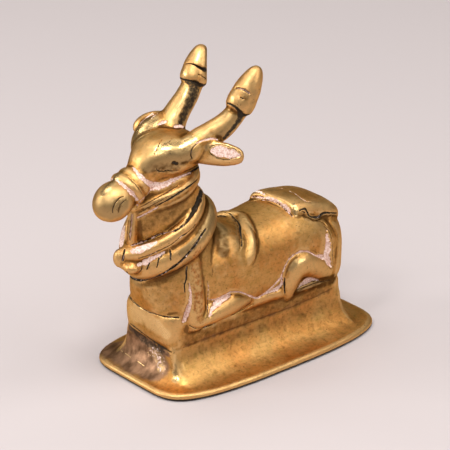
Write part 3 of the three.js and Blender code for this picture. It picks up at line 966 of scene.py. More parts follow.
for petal_cut in (
    [(169.8, 249.2, 0.4), (170.6, 254, 0.7), (170.4, 260, 0.5)],
    [(158.6, 257.4, 0.4), (158.2, 262, 0.6), (156.8, 268, 0.4)],
    [(150, 260.4, 0.4), (148.8, 264.4, 0.7), (147, 269.2, 0.5)],
    [(163.8, 253.6, 0.3), (161, 256.4, 0.5), (159.2, 259.4, 0.3)],
    [(142, 266.4, 0.3), (141.4, 269.4, 0.5), (139.4, 272.6, 0.3)],
):
    stroke("petal_cut", petal_cut, depth=0.4, spread=1.6, tarnish=0.9)
stroke("collar_under", [
    (126.8, 272, 0.8), (129.6, 275.8, 1), (133.2, 278.6, 1.1), (140.1, 280.2, 1.2), (149.3, 279, 1.3),
    (159.6, 275.4, 1.4), (170, 269.3, 1.4), (180.3, 261.6, 1.3), (188.3, 253.2, 1.2), (195.2, 245, 1.1),
    (201, 236, 1), (205.6, 229, 0.8),
], depth=0.7, spread=1.5, tarnish=0.95, residue=0.3)
stroke("bell_hole", [
    (124.4, 249.6, 1), (123.6, 255, 1.6), (122.8, 260.6, 1.1),
], depth=0.7, tarnish=1, both=False)
stroke("shoulder_shade", [
    (209, 217, 4), (213, 222, 6), (219, 226, 7), (225, 230, 5),
], grime=1, tarnish=0.25)
print(len(strokes), "strokes with the collar")

# %% [markdown]
# Body: the sharp front step of the shoulder fold with its nicks, the lip and torn edge of the cloth with
# painted shade under it, and the deep hollow in front of the tail.

# %% Strokes of the body
stroke("fold_step", [
    (226, 212, 1), (229.7, 214, 1.6), (233.2, 218.6, 2.4), (237.4, 225.6, 2.8), (238.8, 231, 2.8),
    (239.8, 238, 2.6), (240, 245, 2), (239, 250, 1.2),
], depth=0.35, tool="ledge")
stroke("fold_line", [
    (224.5, 212.2, 0.3), (229.7, 213.4, 0.5), (233.7, 217.4, 0.6), (237.4, 221.6, 0.6),
    (239.4, 224.8, 0.7), (240.2, 229.4, 0.9), (241, 235, 0.9), (241.8, 239, 0.5), (242, 243.8, 0.9),
    (241.4, 247, 0.3),
], depth=0.35, spread=1.4, tarnish=0.95)
stroke("fold_back", [
    (243, 217, 1), (248, 223.7, 1.8), (254.3, 231.7, 2.4), (256.4, 238.6, 2.6), (257, 246.6, 2.4),
    (256, 258, 1.6),
], depth=0.22)
stroke("fold_spot", [(255.8, 250, 1.2), (255.2, 256, 1.8), (254.6, 260, 1.4)], rust=0.9)
stroke("cloth_lip", [
    (253.4, 200.6, 0.7), (262, 199.9, 1), (267, 200, 1), (272.9, 201, 1.1), (279.8, 204.6, 1.1),
    (286, 210, 1.1), (292.5, 216, 0.8),
], depth=0.5, residue=0.5)
stroke("cloth_pink", [
    (256.5, 197, 1.3), (263, 197.6, 1.6), (271, 198.4, 1.7), (278, 201.2, 2), (284, 205.4, 2.1),
    (289.5, 211, 1.7),
], depth=0.1, tool="hollow", residue=0.9)
stroke("cloth_curl", [
    (299.7, 210.6, 0.6), (302, 209.4, 0.9), (305.2, 208.8, 0.9), (306.8, 211.6, 0.8),
    (308.4, 214.6, 0.6),
], depth=0.5, spread=1.5, tarnish=1)
stroke("curl_hole", [(303, 211.6, 0.9), (305, 212.6, 0.9)], depth=0.6, tarnish=1, both=False)
stroke("cloth_tear", [
    (307.6, 214.8, 0.6), (311, 216.8, 0.8), (316, 217.4, 1), (319, 216.6, 1.3), (323.4, 213, 0.9),
    (329.8, 212.8, 0.6), (336.6, 213.1, 0.6),
], depth=0.6, spread=1.6, tarnish=1)
stroke("cloth_undercut", [
    (336.6, 215.6, 1.6), (329.8, 215.4, 2), (323.4, 216.2, 2.4), (316, 219.6, 2.6), (309, 217.6, 2.2),
    (303, 214.6, 1.8),
], depth=0.5, tool="ledge", grime=0.7)
stroke("cloth_line", [
    (289, 190.7, 0.3), (293, 192.4, 0.5), (296.7, 194.8, 0.6), (301.3, 198.4, 0.6), (305.9, 201.2, 0.6),
    (311.2, 201.8, 0.3),
], depth=0.2, residue=0.7)
stroke("tail_hollow", [
    (327, 228.6, 0.8), (327.4, 234, 2), (328, 241, 3.2), (328.4, 248, 4.4), (327.4, 255, 5.4),
    (328.6, 261, 4.4), (331.6, 266.4, 1.6),
], depth=1, tool="hollow", spread=1.1, residue=1, both=False)
stroke("hock_hollow", [
    (317.6, 255.4, 1.4), (323.5, 257.6, 3.2),
], depth=0.7, tool="hollow", spread=1.1, residue=1, both=False)
stroke("tail_line", [
    (324.4, 226, 0.6), (328.8, 230.6, 0.8), (331.6, 238, 0.6), (332.8, 247, 0.6), (333, 257, 0.6),
    (333.4, 267.4, 0.5),
], depth=0.35, tarnish=0.6, both=False)
stroke("tail_root", [
    (319, 220.6, 0.8), (324, 222.6, 1.2), (327, 226.4, 0.8),
], depth=0.3, rust=0.5, both=False)
print(len(strokes), "strokes with the body")

# %% [markdown]
# Legs and belly: the pale groove that runs under the belly and over the hock, the hollows in front of the
# foreleg and above the shin, and the fine line under the shin.

# %% Strokes of the legs
stroke("belly_line", [
    (209.6, 299.6, 0.7), (214.9, 299.4, 0.8), (225.8, 294.5, 0.8), (233.3, 291.9, 0.8),
    (242, 292.7, 0.9), (250.7, 296.3, 1.2), (257, 298, 1.4), (263.7, 294, 1.4), (272.3, 287.2, 1.6),
    (279.9, 278.6, 1.5),
], depth=0.55, residue=0.85)
stroke("hock_line", [
    (281, 279, 1.5), (283.4, 271.4, 1.3), (286.6, 264, 1.2), (291.8, 256.9, 1.2), (299.4, 252.3, 1.1),
    (307, 251.3, 1.1), (313.5, 254, 1.4), (319, 257.2, 1.6),
], depth=0.5, tool="hollow", residue=0.95)
stroke("flank_corner", [
    (262, 295.4, 1.4), (269, 292.4, 1.8), (276.5, 289, 3), (281, 285, 2.2), (282.6, 278.6, 1.4),
], depth=0.5, tool="hollow", residue=0.9)
stroke("shank_edge", [
    (284.9, 293, 0.7), (284.3, 286, 0.9), (284.7, 278, 0.7),
], depth=0.45, spread=1.4, tarnish=0.8)
stroke("shank_hollow", [
    (298, 288.6, 0.9), (303, 283.6, 2), (309, 280, 2.7), (314.6, 279.8, 1.6), (318.4, 280.6, 0.8),
], depth=0.7, tool="hollow", residue=0.9)
stroke("foot_line", [
    (296.6, 290.2, 0.5), (306, 286.4, 0.7), (316.8, 282.6, 0.7), (329.8, 280.2, 0.5),
], depth=0.25, tarnish=0.7)
stroke("shin_hollow", [
    (210.2, 316.6, 1.4), (212, 310, 3), (216.4, 304, 4), (223, 298.8, 3), (230.6, 295.2, 1.4),
], depth=0.7, tool="hollow", residue=0.85)
stroke("shin_line", [
    (189.6, 325.4, 0.6), (192.6, 327.4, 0.8), (197.5, 328.6, 0.8), (209, 325.8, 0.8),
    (222.8, 319.4, 0.8), (236.6, 313, 0.7), (246, 308.2, 0.6), (254, 303.8, 0.4),
], depth=0.45, residue=0.3, tarnish=0.5)
stroke("leg_hollow", [
    (188.6, 284, 0.9), (190, 291.4, 1.4), (190, 300, 1.9), (188.6, 307, 2.6), (186.2, 315, 3),
    (184, 321.4, 2.8),
], depth=0.9, tool="hollow", residue=1)
stroke("chest_nicks", [
    (187, 266, 0.5), (186.2, 272, 1), (186.4, 278, 0.7), (184.6, 285, 0.7), (184.8, 292, 0.5),
], depth=0.35, spread=1.5, tarnish=0.95)
stroke("leg_edge", [
    (207.6, 281, 0.4), (208.6, 288, 0.8), (208, 297.8, 0.9), (207.6, 308, 0.8), (207.6, 318, 0.7),
], depth=0.35, residue=0.4, tarnish=0.4)
stroke("flank_nick", [(212.2, 267.6, 0.4), (212.6, 275, 0.5)], depth=0.15, tarnish=0.6)
stroke("leg_rust", [
    (197, 253, 7), (198, 265, 10), (198, 280, 11), (199, 295, 10), (200, 310, 9), (200, 320, 7),
], rust=1)
stroke("flank_spot", [(234.5, 265.3, 1.1)], depth=0.15, rust=1, both=False)
print(len(strokes), "strokes with the legs")

# %% [markdown]
# Base: the crack between chest and block, the seams under the block, and on the front of the skirt an old
# brown patina with a few bright scratches. Along the seams and under the block's front edge, patina and
# tarnish are painted shade, and the pale patch by the skirt's ridge is partly a painted highlight.

# %% Strokes of the base
stroke("chest_crack", [
    (130.4, 296.4, 0.8), (132.6, 300, 1), (136.8, 304.4, 1.1), (143, 309.4, 1.1), (151, 312.8, 0.9),
    (160.5, 315.7, 0.9), (170, 317, 0.8), (178.7, 317.6, 0.9),
], depth=0.45, tarnish=0.9)
stroke("front_seam", [
    (130.6, 324, 1.2), (140, 331.4, 1.8), (151, 339.4, 2), (162, 347, 1.8), (171, 352, 1.2),
], depth=0.3, tarnish=0.8, both=False)
# The seam's patina is painted shade along the foot of the block.
stroke("side_seam", [
    (173, 351.2, 1.6), (200, 341, 2), (240, 326, 2.4), (285, 309.4, 2.4), (315, 296.8, 2),
    (332, 288.6, 1.4),
], depth=0.12, patina=0.3, spread=1.6)
stroke("skirt_patina", [
    (108, 348, 14), (120, 346, 20), (134, 352, 23), (146, 360, 23), (157, 368, 18),
], patina=0.95, both=False)
# Painted shade under the block's front edge, with some tarnish.
stroke("under_block", [
    (130, 327, 4), (136, 332, 5), (143, 338.4, 6), (151, 345, 6), (160, 350.4, 4.6), (169, 354.6, 3),
], patina=1, tarnish=0.6, both=False)
# A pale rubbed patch, partly a painted highlight.
stroke("pale_patch", [
    (151, 348, 4), (157, 354, 7), (160.6, 361, 8), (161, 369, 6),
], polish=0.4, residue=0.4, both=False)
stroke("rim_stain", [(104, 357, 4), (120, 367, 5), (140, 377, 5.6), (158, 385, 5)], rust=0.75, both=False)
for skirt_scratch in (
    [(118, 348.6, 0.5), (122.6, 351.6, 0.5)], [(125.4, 353.4, 0.5), (130.4, 357, 0.5)],
    [(137.8, 361.4, 0.5), (144, 366, 0.6)], [(147.6, 352, 0.4), (150.4, 355.6, 0.4)],
):
    stroke("skirt_scratch", skirt_scratch, depth=0.1, polish=1, both=False)
print(len(strokes), "strokes with the base")

# %% [markdown]
# Next come broad touches that cut nothing: brown that stands both for dust and wax polish that have settled
# and for painted shade, under the muzzle, the jaw, the strap and the collar, on the neck and the shoulder,
# in the creases and on the shaded sides of the horns and buds. They could be left to a mask of hollows
# alone, but they also lie in patches on open metal, so they are laid one by one.

# %% Dirt and painted shade
stroke("shoulder_dirt", [
    (207, 209, 6), (211, 218, 10), (216, 228, 13), (220, 240, 12), (224, 252, 9),
], grime=1)
stroke("fold_dirt", [(232, 214, 3), (236, 222, 4), (238, 232, 4), (238, 243, 4)], grime=0.5)
stroke("neck_dirt", [
    (135, 230, 6), (145, 225, 9), (160, 216, 11), (175, 206, 11), (188, 196, 9),
], grime=0.5)
stroke("dewlap_dirt", [(132, 215, 3), (130.6, 226, 3.4), (130, 238, 3)], grime=0.8)
stroke("strap_dirt", [(137, 213, 3), (160, 201, 4.6), (178, 190, 5), (192, 181, 5)], grime=0.6)
stroke("cheek_dirt", [
    (146, 167, 8), (158, 163, 12), (172, 160, 13), (187, 156, 11),
], grime=1, tarnish=0.15)
stroke("under_muzzle_dirt", [(94, 204, 7), (102, 208, 11), (113, 209, 13), (123, 205, 10)], grime=1)
stroke("under_collar_dirt", [
    (131, 280, 3), (140, 285, 4), (155, 283, 4.6), (172, 275, 4.6), (190, 259, 4.4),
], grime=0.7)
stroke("chest_dirt", [(137, 288, 7), (148, 294, 12), (160, 298, 13), (173, 302, 10)], grime=0.3)
stroke("side_seam_dirt", [
    (186, 340, 8), (205, 334, 9), (228, 326, 9), (252, 317, 9), (276, 308, 8.6), (304, 298, 8),
    (328, 288, 7),
], grime=0.48)
stroke("hock_dirt", [(296, 292, 6), (308, 286, 8), (320, 283, 8), (332, 279, 6)], grime=0.9)
stroke("collar_dirt", [
    (206, 200, 6), (209, 208, 7), (209, 218, 8), (204, 230, 8), (196, 242, 7), (184, 253, 6),
], grime=1)
stroke("nape_dirt", [(200, 186, 3.6), (205, 195, 6), (206, 208, 6)], grime=0.9)
stroke("left_bud_dirt", [(254.6, 92, 4), (253, 103, 4.6), (248, 113, 4.4)], grime=0.6)
stroke("left_knob_dirt", [(233, 92, 3), (240, 97, 5), (246, 104, 5)], grime=0.45)
stroke("right_bud_dirt", [(206.6, 50, 2.8), (206.6, 62, 3.4), (206, 78, 3.6)], grime=0.7)
stroke("right_ear_dirt", [
    (138, 126, 3), (143, 123, 4), (149, 121, 4), (155, 121, 4),
], grime=0.9, both=False)
stroke("left_horn_dirt", [(204, 135, 5), (214, 130, 7), (223, 122, 8), (231, 112, 7)], grime=0.65)
stroke("left_bud_film", [(252, 74, 5), (250, 84, 7), (246, 94, 8), (241, 104, 7)], grime=0.5)
print(len(strokes), "strokes with the grime")

# %% [markdown]
# Last are the bright places: partly metal that hands and cloths have rubbed bright for years, and partly
# painted highlights, on the brow, the noseband, the horns, the cloth's corner and edges, the block's front
# and the ridge of the skirt.

# %% Rubbed places and painted highlights
stroke("brow_rubbed", [(160, 149, 7), (170, 147, 10), (181, 144, 11), (191, 141, 8)], polish=1)
stroke("nose_rubbed", [(150, 158, 5), (160, 154, 7)], polish=0.25)
stroke("noseband_rubbed", [(118, 174, 4), (112, 183, 6), (103, 193, 5)], polish=0.9)
stroke("left_horn_rubbed", [(206, 129, 2.4), (216, 122, 3.4), (225, 114, 3.4), (230, 108, 2)], polish=0.3)
stroke("right_horn_rubbed", [(174, 118, 3), (181, 106, 3), (185.6, 93, 2.6), (186, 88, 2)], polish=0.6)
stroke("left_bud_rubbed", [(249, 76, 3), (247, 84, 3)], polish=0.45)
stroke("left_knob_rubbed", [(232, 97, 2.6), (233.6, 101, 2.6)], polish=0.5)
stroke("right_bud_rubbed", [(199, 52, 3), (196.6, 60, 3)], polish=0.55)
stroke("right_knob_rubbed", [(183.6, 72, 2.6), (184.6, 76, 2.4)], polish=0.6)
stroke("cloth_corner_rubbed", [(293.6, 204, 3), (295.4, 209, 3.6), (296, 215, 2.4)], polish=1)
stroke("cloth_edge_rubbed", [(309, 212, 1.4), (316, 212.6, 1.5), (323, 211, 1.3)], polish=0.7)
stroke("cloth_top_rubbed", [(268, 190, 5), (284, 194, 6), (300, 200, 6), (318, 204, 5)], polish=0.4)
stroke("fold_rubbed", [(244, 218, 2), (250, 226, 3), (253, 236, 3.6), (254, 246, 3)], polish=0.6)
stroke("block_rubbed", [(136, 308, 8), (146, 318, 11), (156, 326, 11), (165, 334, 9)], polish=0.9)
stroke("ridge_rubbed", [(174.6, 356, 2), (175, 368, 2.4), (176, 380, 3.6)], polish=0.9)
stroke("ear_rubbed", [
    (206, 148, 4), (214, 145, 3.6), (228, 145.6, 3), (240, 153, 3), (232, 160, 2.6), (220, 160, 3),
    (210, 157, 3),
], polish=0.6)
stroke("hock_rubbed", [(290, 270, 3), (297, 262, 4), (305, 261, 3)], polish=0.7)
print(len(strokes), "strokes in all")

# %% [markdown]
# A stroke finer than the skin's mesh would come out as a row of teeth, so the faces under the fine strokes
# are split twice first. Splitting the whole skin would cost ten times as many faces.

# %% Finer skin under the fine strokes
SKIN_STEP = 0.28
FINE = 1.3 * SKIN_STEP * mm
MARGIN = 0.3 * mm
SPLITS = 2


def take(piece):
    """Select one piece alone and make it the active one, ready for an operator."""
    deselect()
    piece.select_set(True)
    bpy.context.view_layer.objects.active = piece


for _ in range(SPLITS):
    co, normals = skin_arrays()
    close = np.zeros(len(co), dtype=bool)
    for mark in strokes:
        if mark["depth"] and mark["radii"].mean() < FINE:
            close[near(mark, co, normals, beyond=MARGIN)[0]] = True
    mesh = bull.data
    corner_points = np.empty(len(mesh.loops), dtype=np.int32)
    mesh.loops.foreach_get("vertex_index", corner_points)
    starts = np.empty(len(mesh.polygons), dtype=np.int32)
    mesh.polygons.foreach_get("loop_start", starts)
    chosen = np.logical_and.reduceat(close[corner_points], starts)
    take(bull)
    bpy.ops.object.mode_set(mode="EDIT")
    bpy.ops.mesh.select_mode(type="FACE")
    bpy.ops.mesh.select_all(action="DESELECT")
    bpy.ops.object.mode_set(mode="OBJECT")
    mesh.polygons.foreach_set("select", chosen)
    bpy.ops.object.mode_set(mode="EDIT")
    bpy.ops.mesh.subdivide(number_cuts=1)
    bpy.ops.object.mode_set(mode="OBJECT")
    print(int(chosen.sum()), "faces split, which gives", len(bull.data.polygons))

# %% [markdown]
# Now the strokes are cut. The section of a groove is a soft V, a hollow has a flat floor with steep sides,
# and a ledge drops on one side of its line alone.

# %% Cutting
GROOVE_SLOPE = 1.3
LEDGE_SLOPE = 1.2
HOLLOW_WALL = 0.5
STAIN_EDGE = 0.45
SEEN = 0.1
# The tarnish, grime and patina stains also carry painted shade, and the polish carries painted highlights.
STAINS = ("residue", "tarnish", "grime", "rust", "patina", "polish")


def keep_layer(name, values):
    """Write one number for each point of the skin into a layer that the material reads."""
    layer = bull.data.attributes.new(name, "FLOAT", "POINT")
    layer.data.foreach_set("value", values)


co, normals = skin_arrays()
stain = {name: np.zeros(len(co)) for name in STAINS}
moves = np.zeros_like(co)
for mark in strokes:
    index, share, best = near(mark, co, normals)
    if len(index) and mark["depth"]:
        if mark["tool"] == "groove":
            form = (1 - share) ** GROOVE_SLOPE
        elif mark["tool"] == "hollow":
            edge_share = np.clip((1 - share) / HOLLOW_WALL, 0, 1)
            form = edge_share**2 * (3 - 2 * edge_share)
        else:
            path = np.gradient(mark["centres"], axis=0)[best]
            across = np.cross(mark["normals"][best], path)
            side = np.sign(((co[index] - mark["centres"][best]) * across).sum(1)) * mark["turn"]
            form = np.where(side > 0, (1 - share) ** LEDGE_SLOPE, 0)
        moves[index] -= normals[index] * (mark["depth"] * form)[:, None]
    index, share, _ = near(mark, co, normals, mark["spread"])
    if len(index):
        soft = np.clip((1 - share) / STAIN_EDGE, 0, 1)
        for name, strength in mark["stains"].items():
            stain[name][index] = np.maximum(stain[name][index], strength * soft)
bull.data.vertices.foreach_set("co", (co + moves).ravel())
bull.data.update()
for name, values in stain.items():
    keep_layer(name, values)
    print(name, "on", int((values > SEEN).sum()), "points")

# %% [markdown]
# No surface of a casting is quite even, so the skin is swollen and sunk a little by two clouds of noise.
# The underside is left out, because it was filed flat to stand.

# %% Cast unevenness
UNDERSIDE = 0.4 * mm
co, _ = skin_arrays()
above = bull.vertex_groups.new(name="above_underside")
above.add([int(i) for i in np.flatnonzero(co[:, 2] > UNDERSIDE)], 1, "REPLACE")
for name, size, depth in (("slow_swell", 4.5, 0.13), ("fine_swell", 1.3, 0.06)):
    clouds = bpy.data.textures.new(name, "CLOUDS")
    clouds.noise_scale = size * mm
    clouds.noise_depth = 2
    swell = bull.modifiers.new(name, "DISPLACE")
    swell.texture = clouds
    swell.texture_coords = "LOCAL"
    swell.strength = depth * mm
    swell.mid_level = 0.5
    swell.vertex_group = above.name
    take(bull)
    bpy.ops.object.modifier_apply(modifier=swell.name)
print("highest point", round(max(vertex.co.z for vertex in bull.data.vertices) * 1000, 2), "mm")

# %% [markdown]
# Dirt, painted shade and polish follow the form: hollows stay dark, with dirt and painted shade, and proud
# edges are rubbed bright. How deep a point lies is measured by smoothing a copy of the skin's points and
# seeing how far the smooth copy passes over it.

# %% Hollows and rubbed edges
def depth_below_smooth(co, normals, rounds):
    edges = np.empty(len(bull.data.edges) * 2, dtype=np.int64)
    bull.data.edges.foreach_get("vertices", edges)
    one, two = edges.reshape(-1, 2).T
    count = np.bincount(np.concatenate([one, two]), minlength=len(co))
    smooth = co.copy()
    for _ in range(rounds):
        total = np.empty_like(smooth)
        for axis in range(3):
            total[:, axis] = np.bincount(
                np.concatenate([one, two]),
                weights=np.concatenate([smooth[two, axis], smooth[one, axis]]),
                minlength=len(co),
            )
        smooth = 0.5 * smooth + 0.5 * total / count[:, None]
    return ((smooth - co) * normals).sum(1)


co, normals = skin_arrays()
for name, rounds, deepest in (("crevice", 14, 0.06), ("hollow", 160, 0.9)):
    depth = depth_below_smooth(co, normals, rounds)
    keep_layer(name, np.clip(depth / (deepest * mm), -1, 1))
    print(name, "from", round(depth.min() / mm, 3), "to", round(depth.max() / mm, 3), "mm")

# %% [markdown]
# Near the floor the rim is painted black: a painted contact shadow, with tarnish where damp and polish have
# gathered. A stroke round the rim could say so, but the height above the floor says it more simply.

# %% Painted shadow and tarnish under the rim
RIM_BLACK = 1 * mm
RIM_FADE = 0.3 * mm
black = np.zeros(len(co))
bull.data.attributes["tarnish"].data.foreach_get("value", black)
low_share = np.clip((RIM_BLACK - co[:, 2]) / RIM_FADE, 0, 1)
bull.data.attributes["tarnish"].data.foreach_set("value", np.maximum(black, low_share))
print("points blackened near the floor:", int((low_share > 0).sum()))

# %% [markdown]
# The skin now has far more faces than its flat parts need. A decimate modifier merges the least needed edges
# first, so the cuts keep their faces while the flat underside and the skirt give up most of theirs.

# %% Fewer faces
MOST_TRIANGLES = 190000


def triangle_count():
    return sum(len(face.vertices) - 2 for face in bull.data.polygons)


triangles = triangle_count()
thinning = bull.modifiers.new("thinning", "DECIMATE")
thinning.ratio = MOST_TRIANGLES / triangles
take(bull)
bpy.ops.object.modifier_apply(modifier=thinning.name)
print(triangles, "triangles before and", triangle_count(), "now")
print("layers kept:", [name for name in bull.data.attributes.keys() if not name.startswith(".")])

# %% [markdown]
# Polishing never reaches the sheltered places: under the jaw, behind the collar, below the belly, where
# shade falls as well. From every point of the skin a small fan of rays is thrown outwards, and the share
# that soon meets metal again is kept as the point's shelter, for the material to darken with dirt and
# painted shade.

# %% Sheltered places
FAN = 14
REACH = 13 * mm
CLEAR_OF_SKIN = 0.08 * mm
UPRIGHT = 0.9
tree = skin_tree()
co, normals = skin_arrays()
lifts = np.sqrt((np.arange(FAN) + 0.5) / FAN)
turns = np.arange(FAN) * math.pi * (3 - math.sqrt(5))
fan = np.stack([np.cos(turns) * lifts, np.sin(turns) * lifts, np.sqrt(1 - lifts**2)], 1)
helper = np.where(np.abs(normals[:, 2:]) < UPRIGHT, (0, 0, 1), (1, 0, 0))
right_of = np.cross(helper, normals)
right_of /= np.linalg.norm(right_of, axis=1)[:, None]
over = np.cross(normals, right_of)
starts = co + normals * CLEAR_OF_SKIN
shelter = np.zeros(len(co))
for a, b, c in fan:
    rays = right_of * a + over * b + normals * c
    for i, (start, ray) in enumerate(zip(starts.tolist(), rays.tolist())):
        distance = tree.ray_cast(start, ray, REACH)[3]
        if distance is not None:
            shelter[i] += (1 - distance / REACH) / FAN
keep_layer("shelter", shelter)
print("shelter: middle", round(float(np.median(shelter)), 3), "highest", round(float(shelter.max()), 3))

# %% [markdown]
# The metal is one material. Its colour is built up in about the order in which its stains came about: golden
# metal with warmer and greener patches, brown for dirt and painted shade in the sheltered places, the grime
# and the hollows, dark pores, rust-red spots on the leg, old patina on the skirt with painted shade under the
# block, what hands have rubbed bright together with painted highlights, black tarnish that is partly painted
# shade, and last the pale residue of polish, which is no metal at all. Every pattern reads the object's own
# coordinates, so it stays where it is when the bull is turned.

# %% Tools for the material
brass = bpy.data.materials.new("worn_brass")
brass.use_nodes = True
nodes = brass.node_tree.nodes
links = brass.node_tree.links
shader = nodes["Principled BSDF"]
coordinates = nodes.new("ShaderNodeTexCoord").outputs["Object"]


def feed(socket, value):
    if isinstance(value, bpy.types.NodeSocket):
        links.new(value, socket)
    else:
        socket.default_value = value


def grain(size, detail=3, stretch=(1, 1, 1)):
    """Noise whose spots are about `size` millimetres wide, drawn out along the axes by `stretch`."""
    mapping = nodes.new("ShaderNodeMapping")
    mapping.inputs["Scale"].default_value = [1 / (size * mm * times) for times in stretch]
    links.new(coordinates, mapping.inputs["Vector"])
    texture = nodes.new("ShaderNodeTexNoise")
    texture.inputs["Scale"].default_value = 1
    texture.inputs["Detail"].default_value = detail
    links.new(mapping.outputs[0], texture.inputs["Vector"])
    return texture.outputs["Fac"]


def read(name):
    made = nodes.new("ShaderNodeAttribute")
    made.attribute_name = name
    return made.outputs["Fac"]


def sums(kind, a, b):
    made = nodes.new("ShaderNodeMath")
    made.operation = kind
    feed(made.inputs[0], a)
    feed(made.inputs[1], b)
    return made.outputs[0]


print("value tools are ready")

# %% [markdown]
# Three more tools turn values into masks and masks into colours: a smooth rise between two thresholds, a
# stain whose edge is broken up by noise, and the blend of two colours.

# %% Masks and blends
def rising(value, low, high, top=1.0):
    """0 below `low`, `top` above `high`, and a smooth rise between."""
    made = nodes.new("ShaderNodeMapRange")
    made.interpolation_type = "SMOOTHSTEP"
    feed(made.inputs["Value"], value)
    made.inputs["From Min"].default_value = low
    made.inputs["From Max"].default_value = high
    made.inputs["To Max"].default_value = top
    return made.outputs["Result"]


def broken(name, speckle, amount, low, high):
    """A stain whose edge is broken up by noise."""
    ragged = sums("MULTIPLY", sums("SUBTRACT", speckle, 0.5), amount)
    return rising(sums("ADD", read(name), ragged), low, high)


def blend(share, low, high):
    made = nodes.new("ShaderNodeMix")
    made.data_type = "RGBA"
    feed(made.inputs["Factor"], share)
    for socket, value in ((made.inputs[6], low), (made.inputs[7], high)):
        feed(socket, (*value, 1) if isinstance(value, tuple) else value)
    return made.outputs[2]


print("mask tools are ready")

# %% [markdown]
# These are the finishes of the real casting, as they look in the photograph, and the masks that say where
# each of them lies. The grime, tarnish, patina, hollow, crevice and shelter masks also paint shade, and the
# polish mask also paints highlights.

# %% Finishes and their masks
GOLDEN = (0.62, 0.33, 0.10)
AMBER = (0.60, 0.27, 0.07)
OLIVE = (0.34, 0.20, 0.04)
BROWN = (0.12, 0.05, 0.012)
GRIME = (0.055, 0.022, 0.004)
BRIGHT = (0.88, 0.58, 0.25)
PORE = (0.08, 0.035, 0.01)
RUST_LIGHT = (0.52, 0.20, 0.055)
RUST_DARK = (0.36, 0.14, 0.04)
PATINA_LIGHT = (0.46, 0.255, 0.14)
PATINA_DARK = (0.11, 0.054, 0.026)
TARNISH = (0.022, 0.016, 0.011)
RESIDUE_LIGHT = (1, 0.79, 0.70)
RESIDUE_DARK = (0.76, 0.49, 0.39)

rust = broken("rust", grain(1.1, 6), 2.6, 0.7, 1.5)
# Patina, and painted shade under the block.
patina = broken("patina", grain(2.6, 5), 0.6, 0.15, 0.75)
# Black tarnish, partly painted shade.
tarnish = broken("tarnish", grain(0.7, 4), 0.8, 0.25, 0.8)
residue = broken("residue", grain(0.7, 5), 1.5, 0.34, 0.66)
left_behind = sums("MULTIPLY", rising(read("crevice"), 0.6, 1), rising(grain(3, 4), 0.48, 0.6, 0.7))
left_behind = sums("MULTIPLY", left_behind, rising(read("shelter"), 0.35, 0.55))
residue = sums("MAXIMUM", residue, left_behind)
# Dirt, and painted shade under the jaw, collar and horns and in the creases.
grime = broken("grime", grain(1.3, 5), 0.9, 0.05, 0.95)
# Rubbed metal and painted highlights.
polish = broken("polish", grain(1.5, 5), 0.7, 0.1, 0.9)
pores = sums("MULTIPLY", rising(grain(0.55, 2), 0.65, 0.72, 0.7), rising(grain(5, 3), 0.4, 0.6))
streaks = grain(0.3, 3, (10, 1, 1))
# Painted shade and dirt in the hollows.
hollow_dark = rising(sums("ADD", read("hollow"), sums("MULTIPLY", grain(1.4, 4), 0.3)), 0.35, 1.0, 0.8)
# Painted shade and dirt in the sheltered places.
sheltered = sums("ADD", read("shelter"), sums("MULTIPLY", sums("SUBTRACT", grain(2.2, 5), 0.5), 0.35))
# Painted shade and dirt in the crevices.
crevice_dark = rising(read("crevice"), 0.25, 1.0, 0.75)
edge_bright = rising(sums("MULTIPLY", read("crevice"), -1), 0.2, 1.0, 0.45)

print("masks made in", len(nodes), "nodes")

# %% [markdown]
# Now the colours are laid over one another, the oldest first.

# %% Colours of the metal
GRIME_SHARE = 0.88
POLISH_SHARE = 0.8
colour = blend(rising(grain(9, 3), 0.4, 0.62), GOLDEN, AMBER)
colour = blend(rising(grain(1.8, 5), 0.48, 0.75, 0.45), colour, OLIVE)
colour = blend(rising(streaks, 0.5, 0.75, 0.35), colour, OLIVE)
colour = blend(rising(grain(0.8, 6), 0.48, 0.75, 0.4), colour, BROWN)
# Painted shade and dirt in the sheltered places.
colour = blend(rising(sheltered, 0.15, 0.45, 0.7), colour, OLIVE)
colour = blend(rising(sheltered, 0.3, 0.7, 0.9), colour, BROWN)
# Dirt and painted shade.
colour = blend(sums("MULTIPLY", grime, GRIME_SHARE), colour, GRIME)
# Painted shade and dirt in the hollows and crevices.
colour = blend(hollow_dark, colour, BROWN)
colour = blend(crevice_dark, colour, BROWN)
colour = blend(edge_bright, colour, BRIGHT)
colour = blend(pores, colour, PORE)
colour = blend(rust, colour, blend(rising(grain(0.7, 3), 0.4, 0.6), RUST_LIGHT, RUST_DARK))
mottle = rising(grain(2.4, 6, (2, 1, 1)), 0.25, 0.8)
# Patina, and painted shade under the block.
colour = blend(patina, colour, blend(mottle, PATINA_DARK, PATINA_LIGHT))
# Rubbed metal and painted highlights.
colour = blend(sums("MULTIPLY", polish, POLISH_SHARE), colour, BRIGHT)
# Black tarnish, partly painted shade.
colour = blend(tarnish, colour, TARNISH)
colour = blend(residue, colour, blend(rising(grain(0.45, 4), 0.4, 0.62), RESIDUE_LIGHT, RESIDUE_DARK))
links.new(colour, shader.inputs["Base Color"])
print("colours mixed in", len(nodes), "nodes")

# %% [markdown]
# The gloss follows the same stains: residue and the black of tarnish and painted shade are dull, rust is
# matt, and the open metal is satin with slightly shinier patches where hands have rubbed it and where
# highlights are painted.

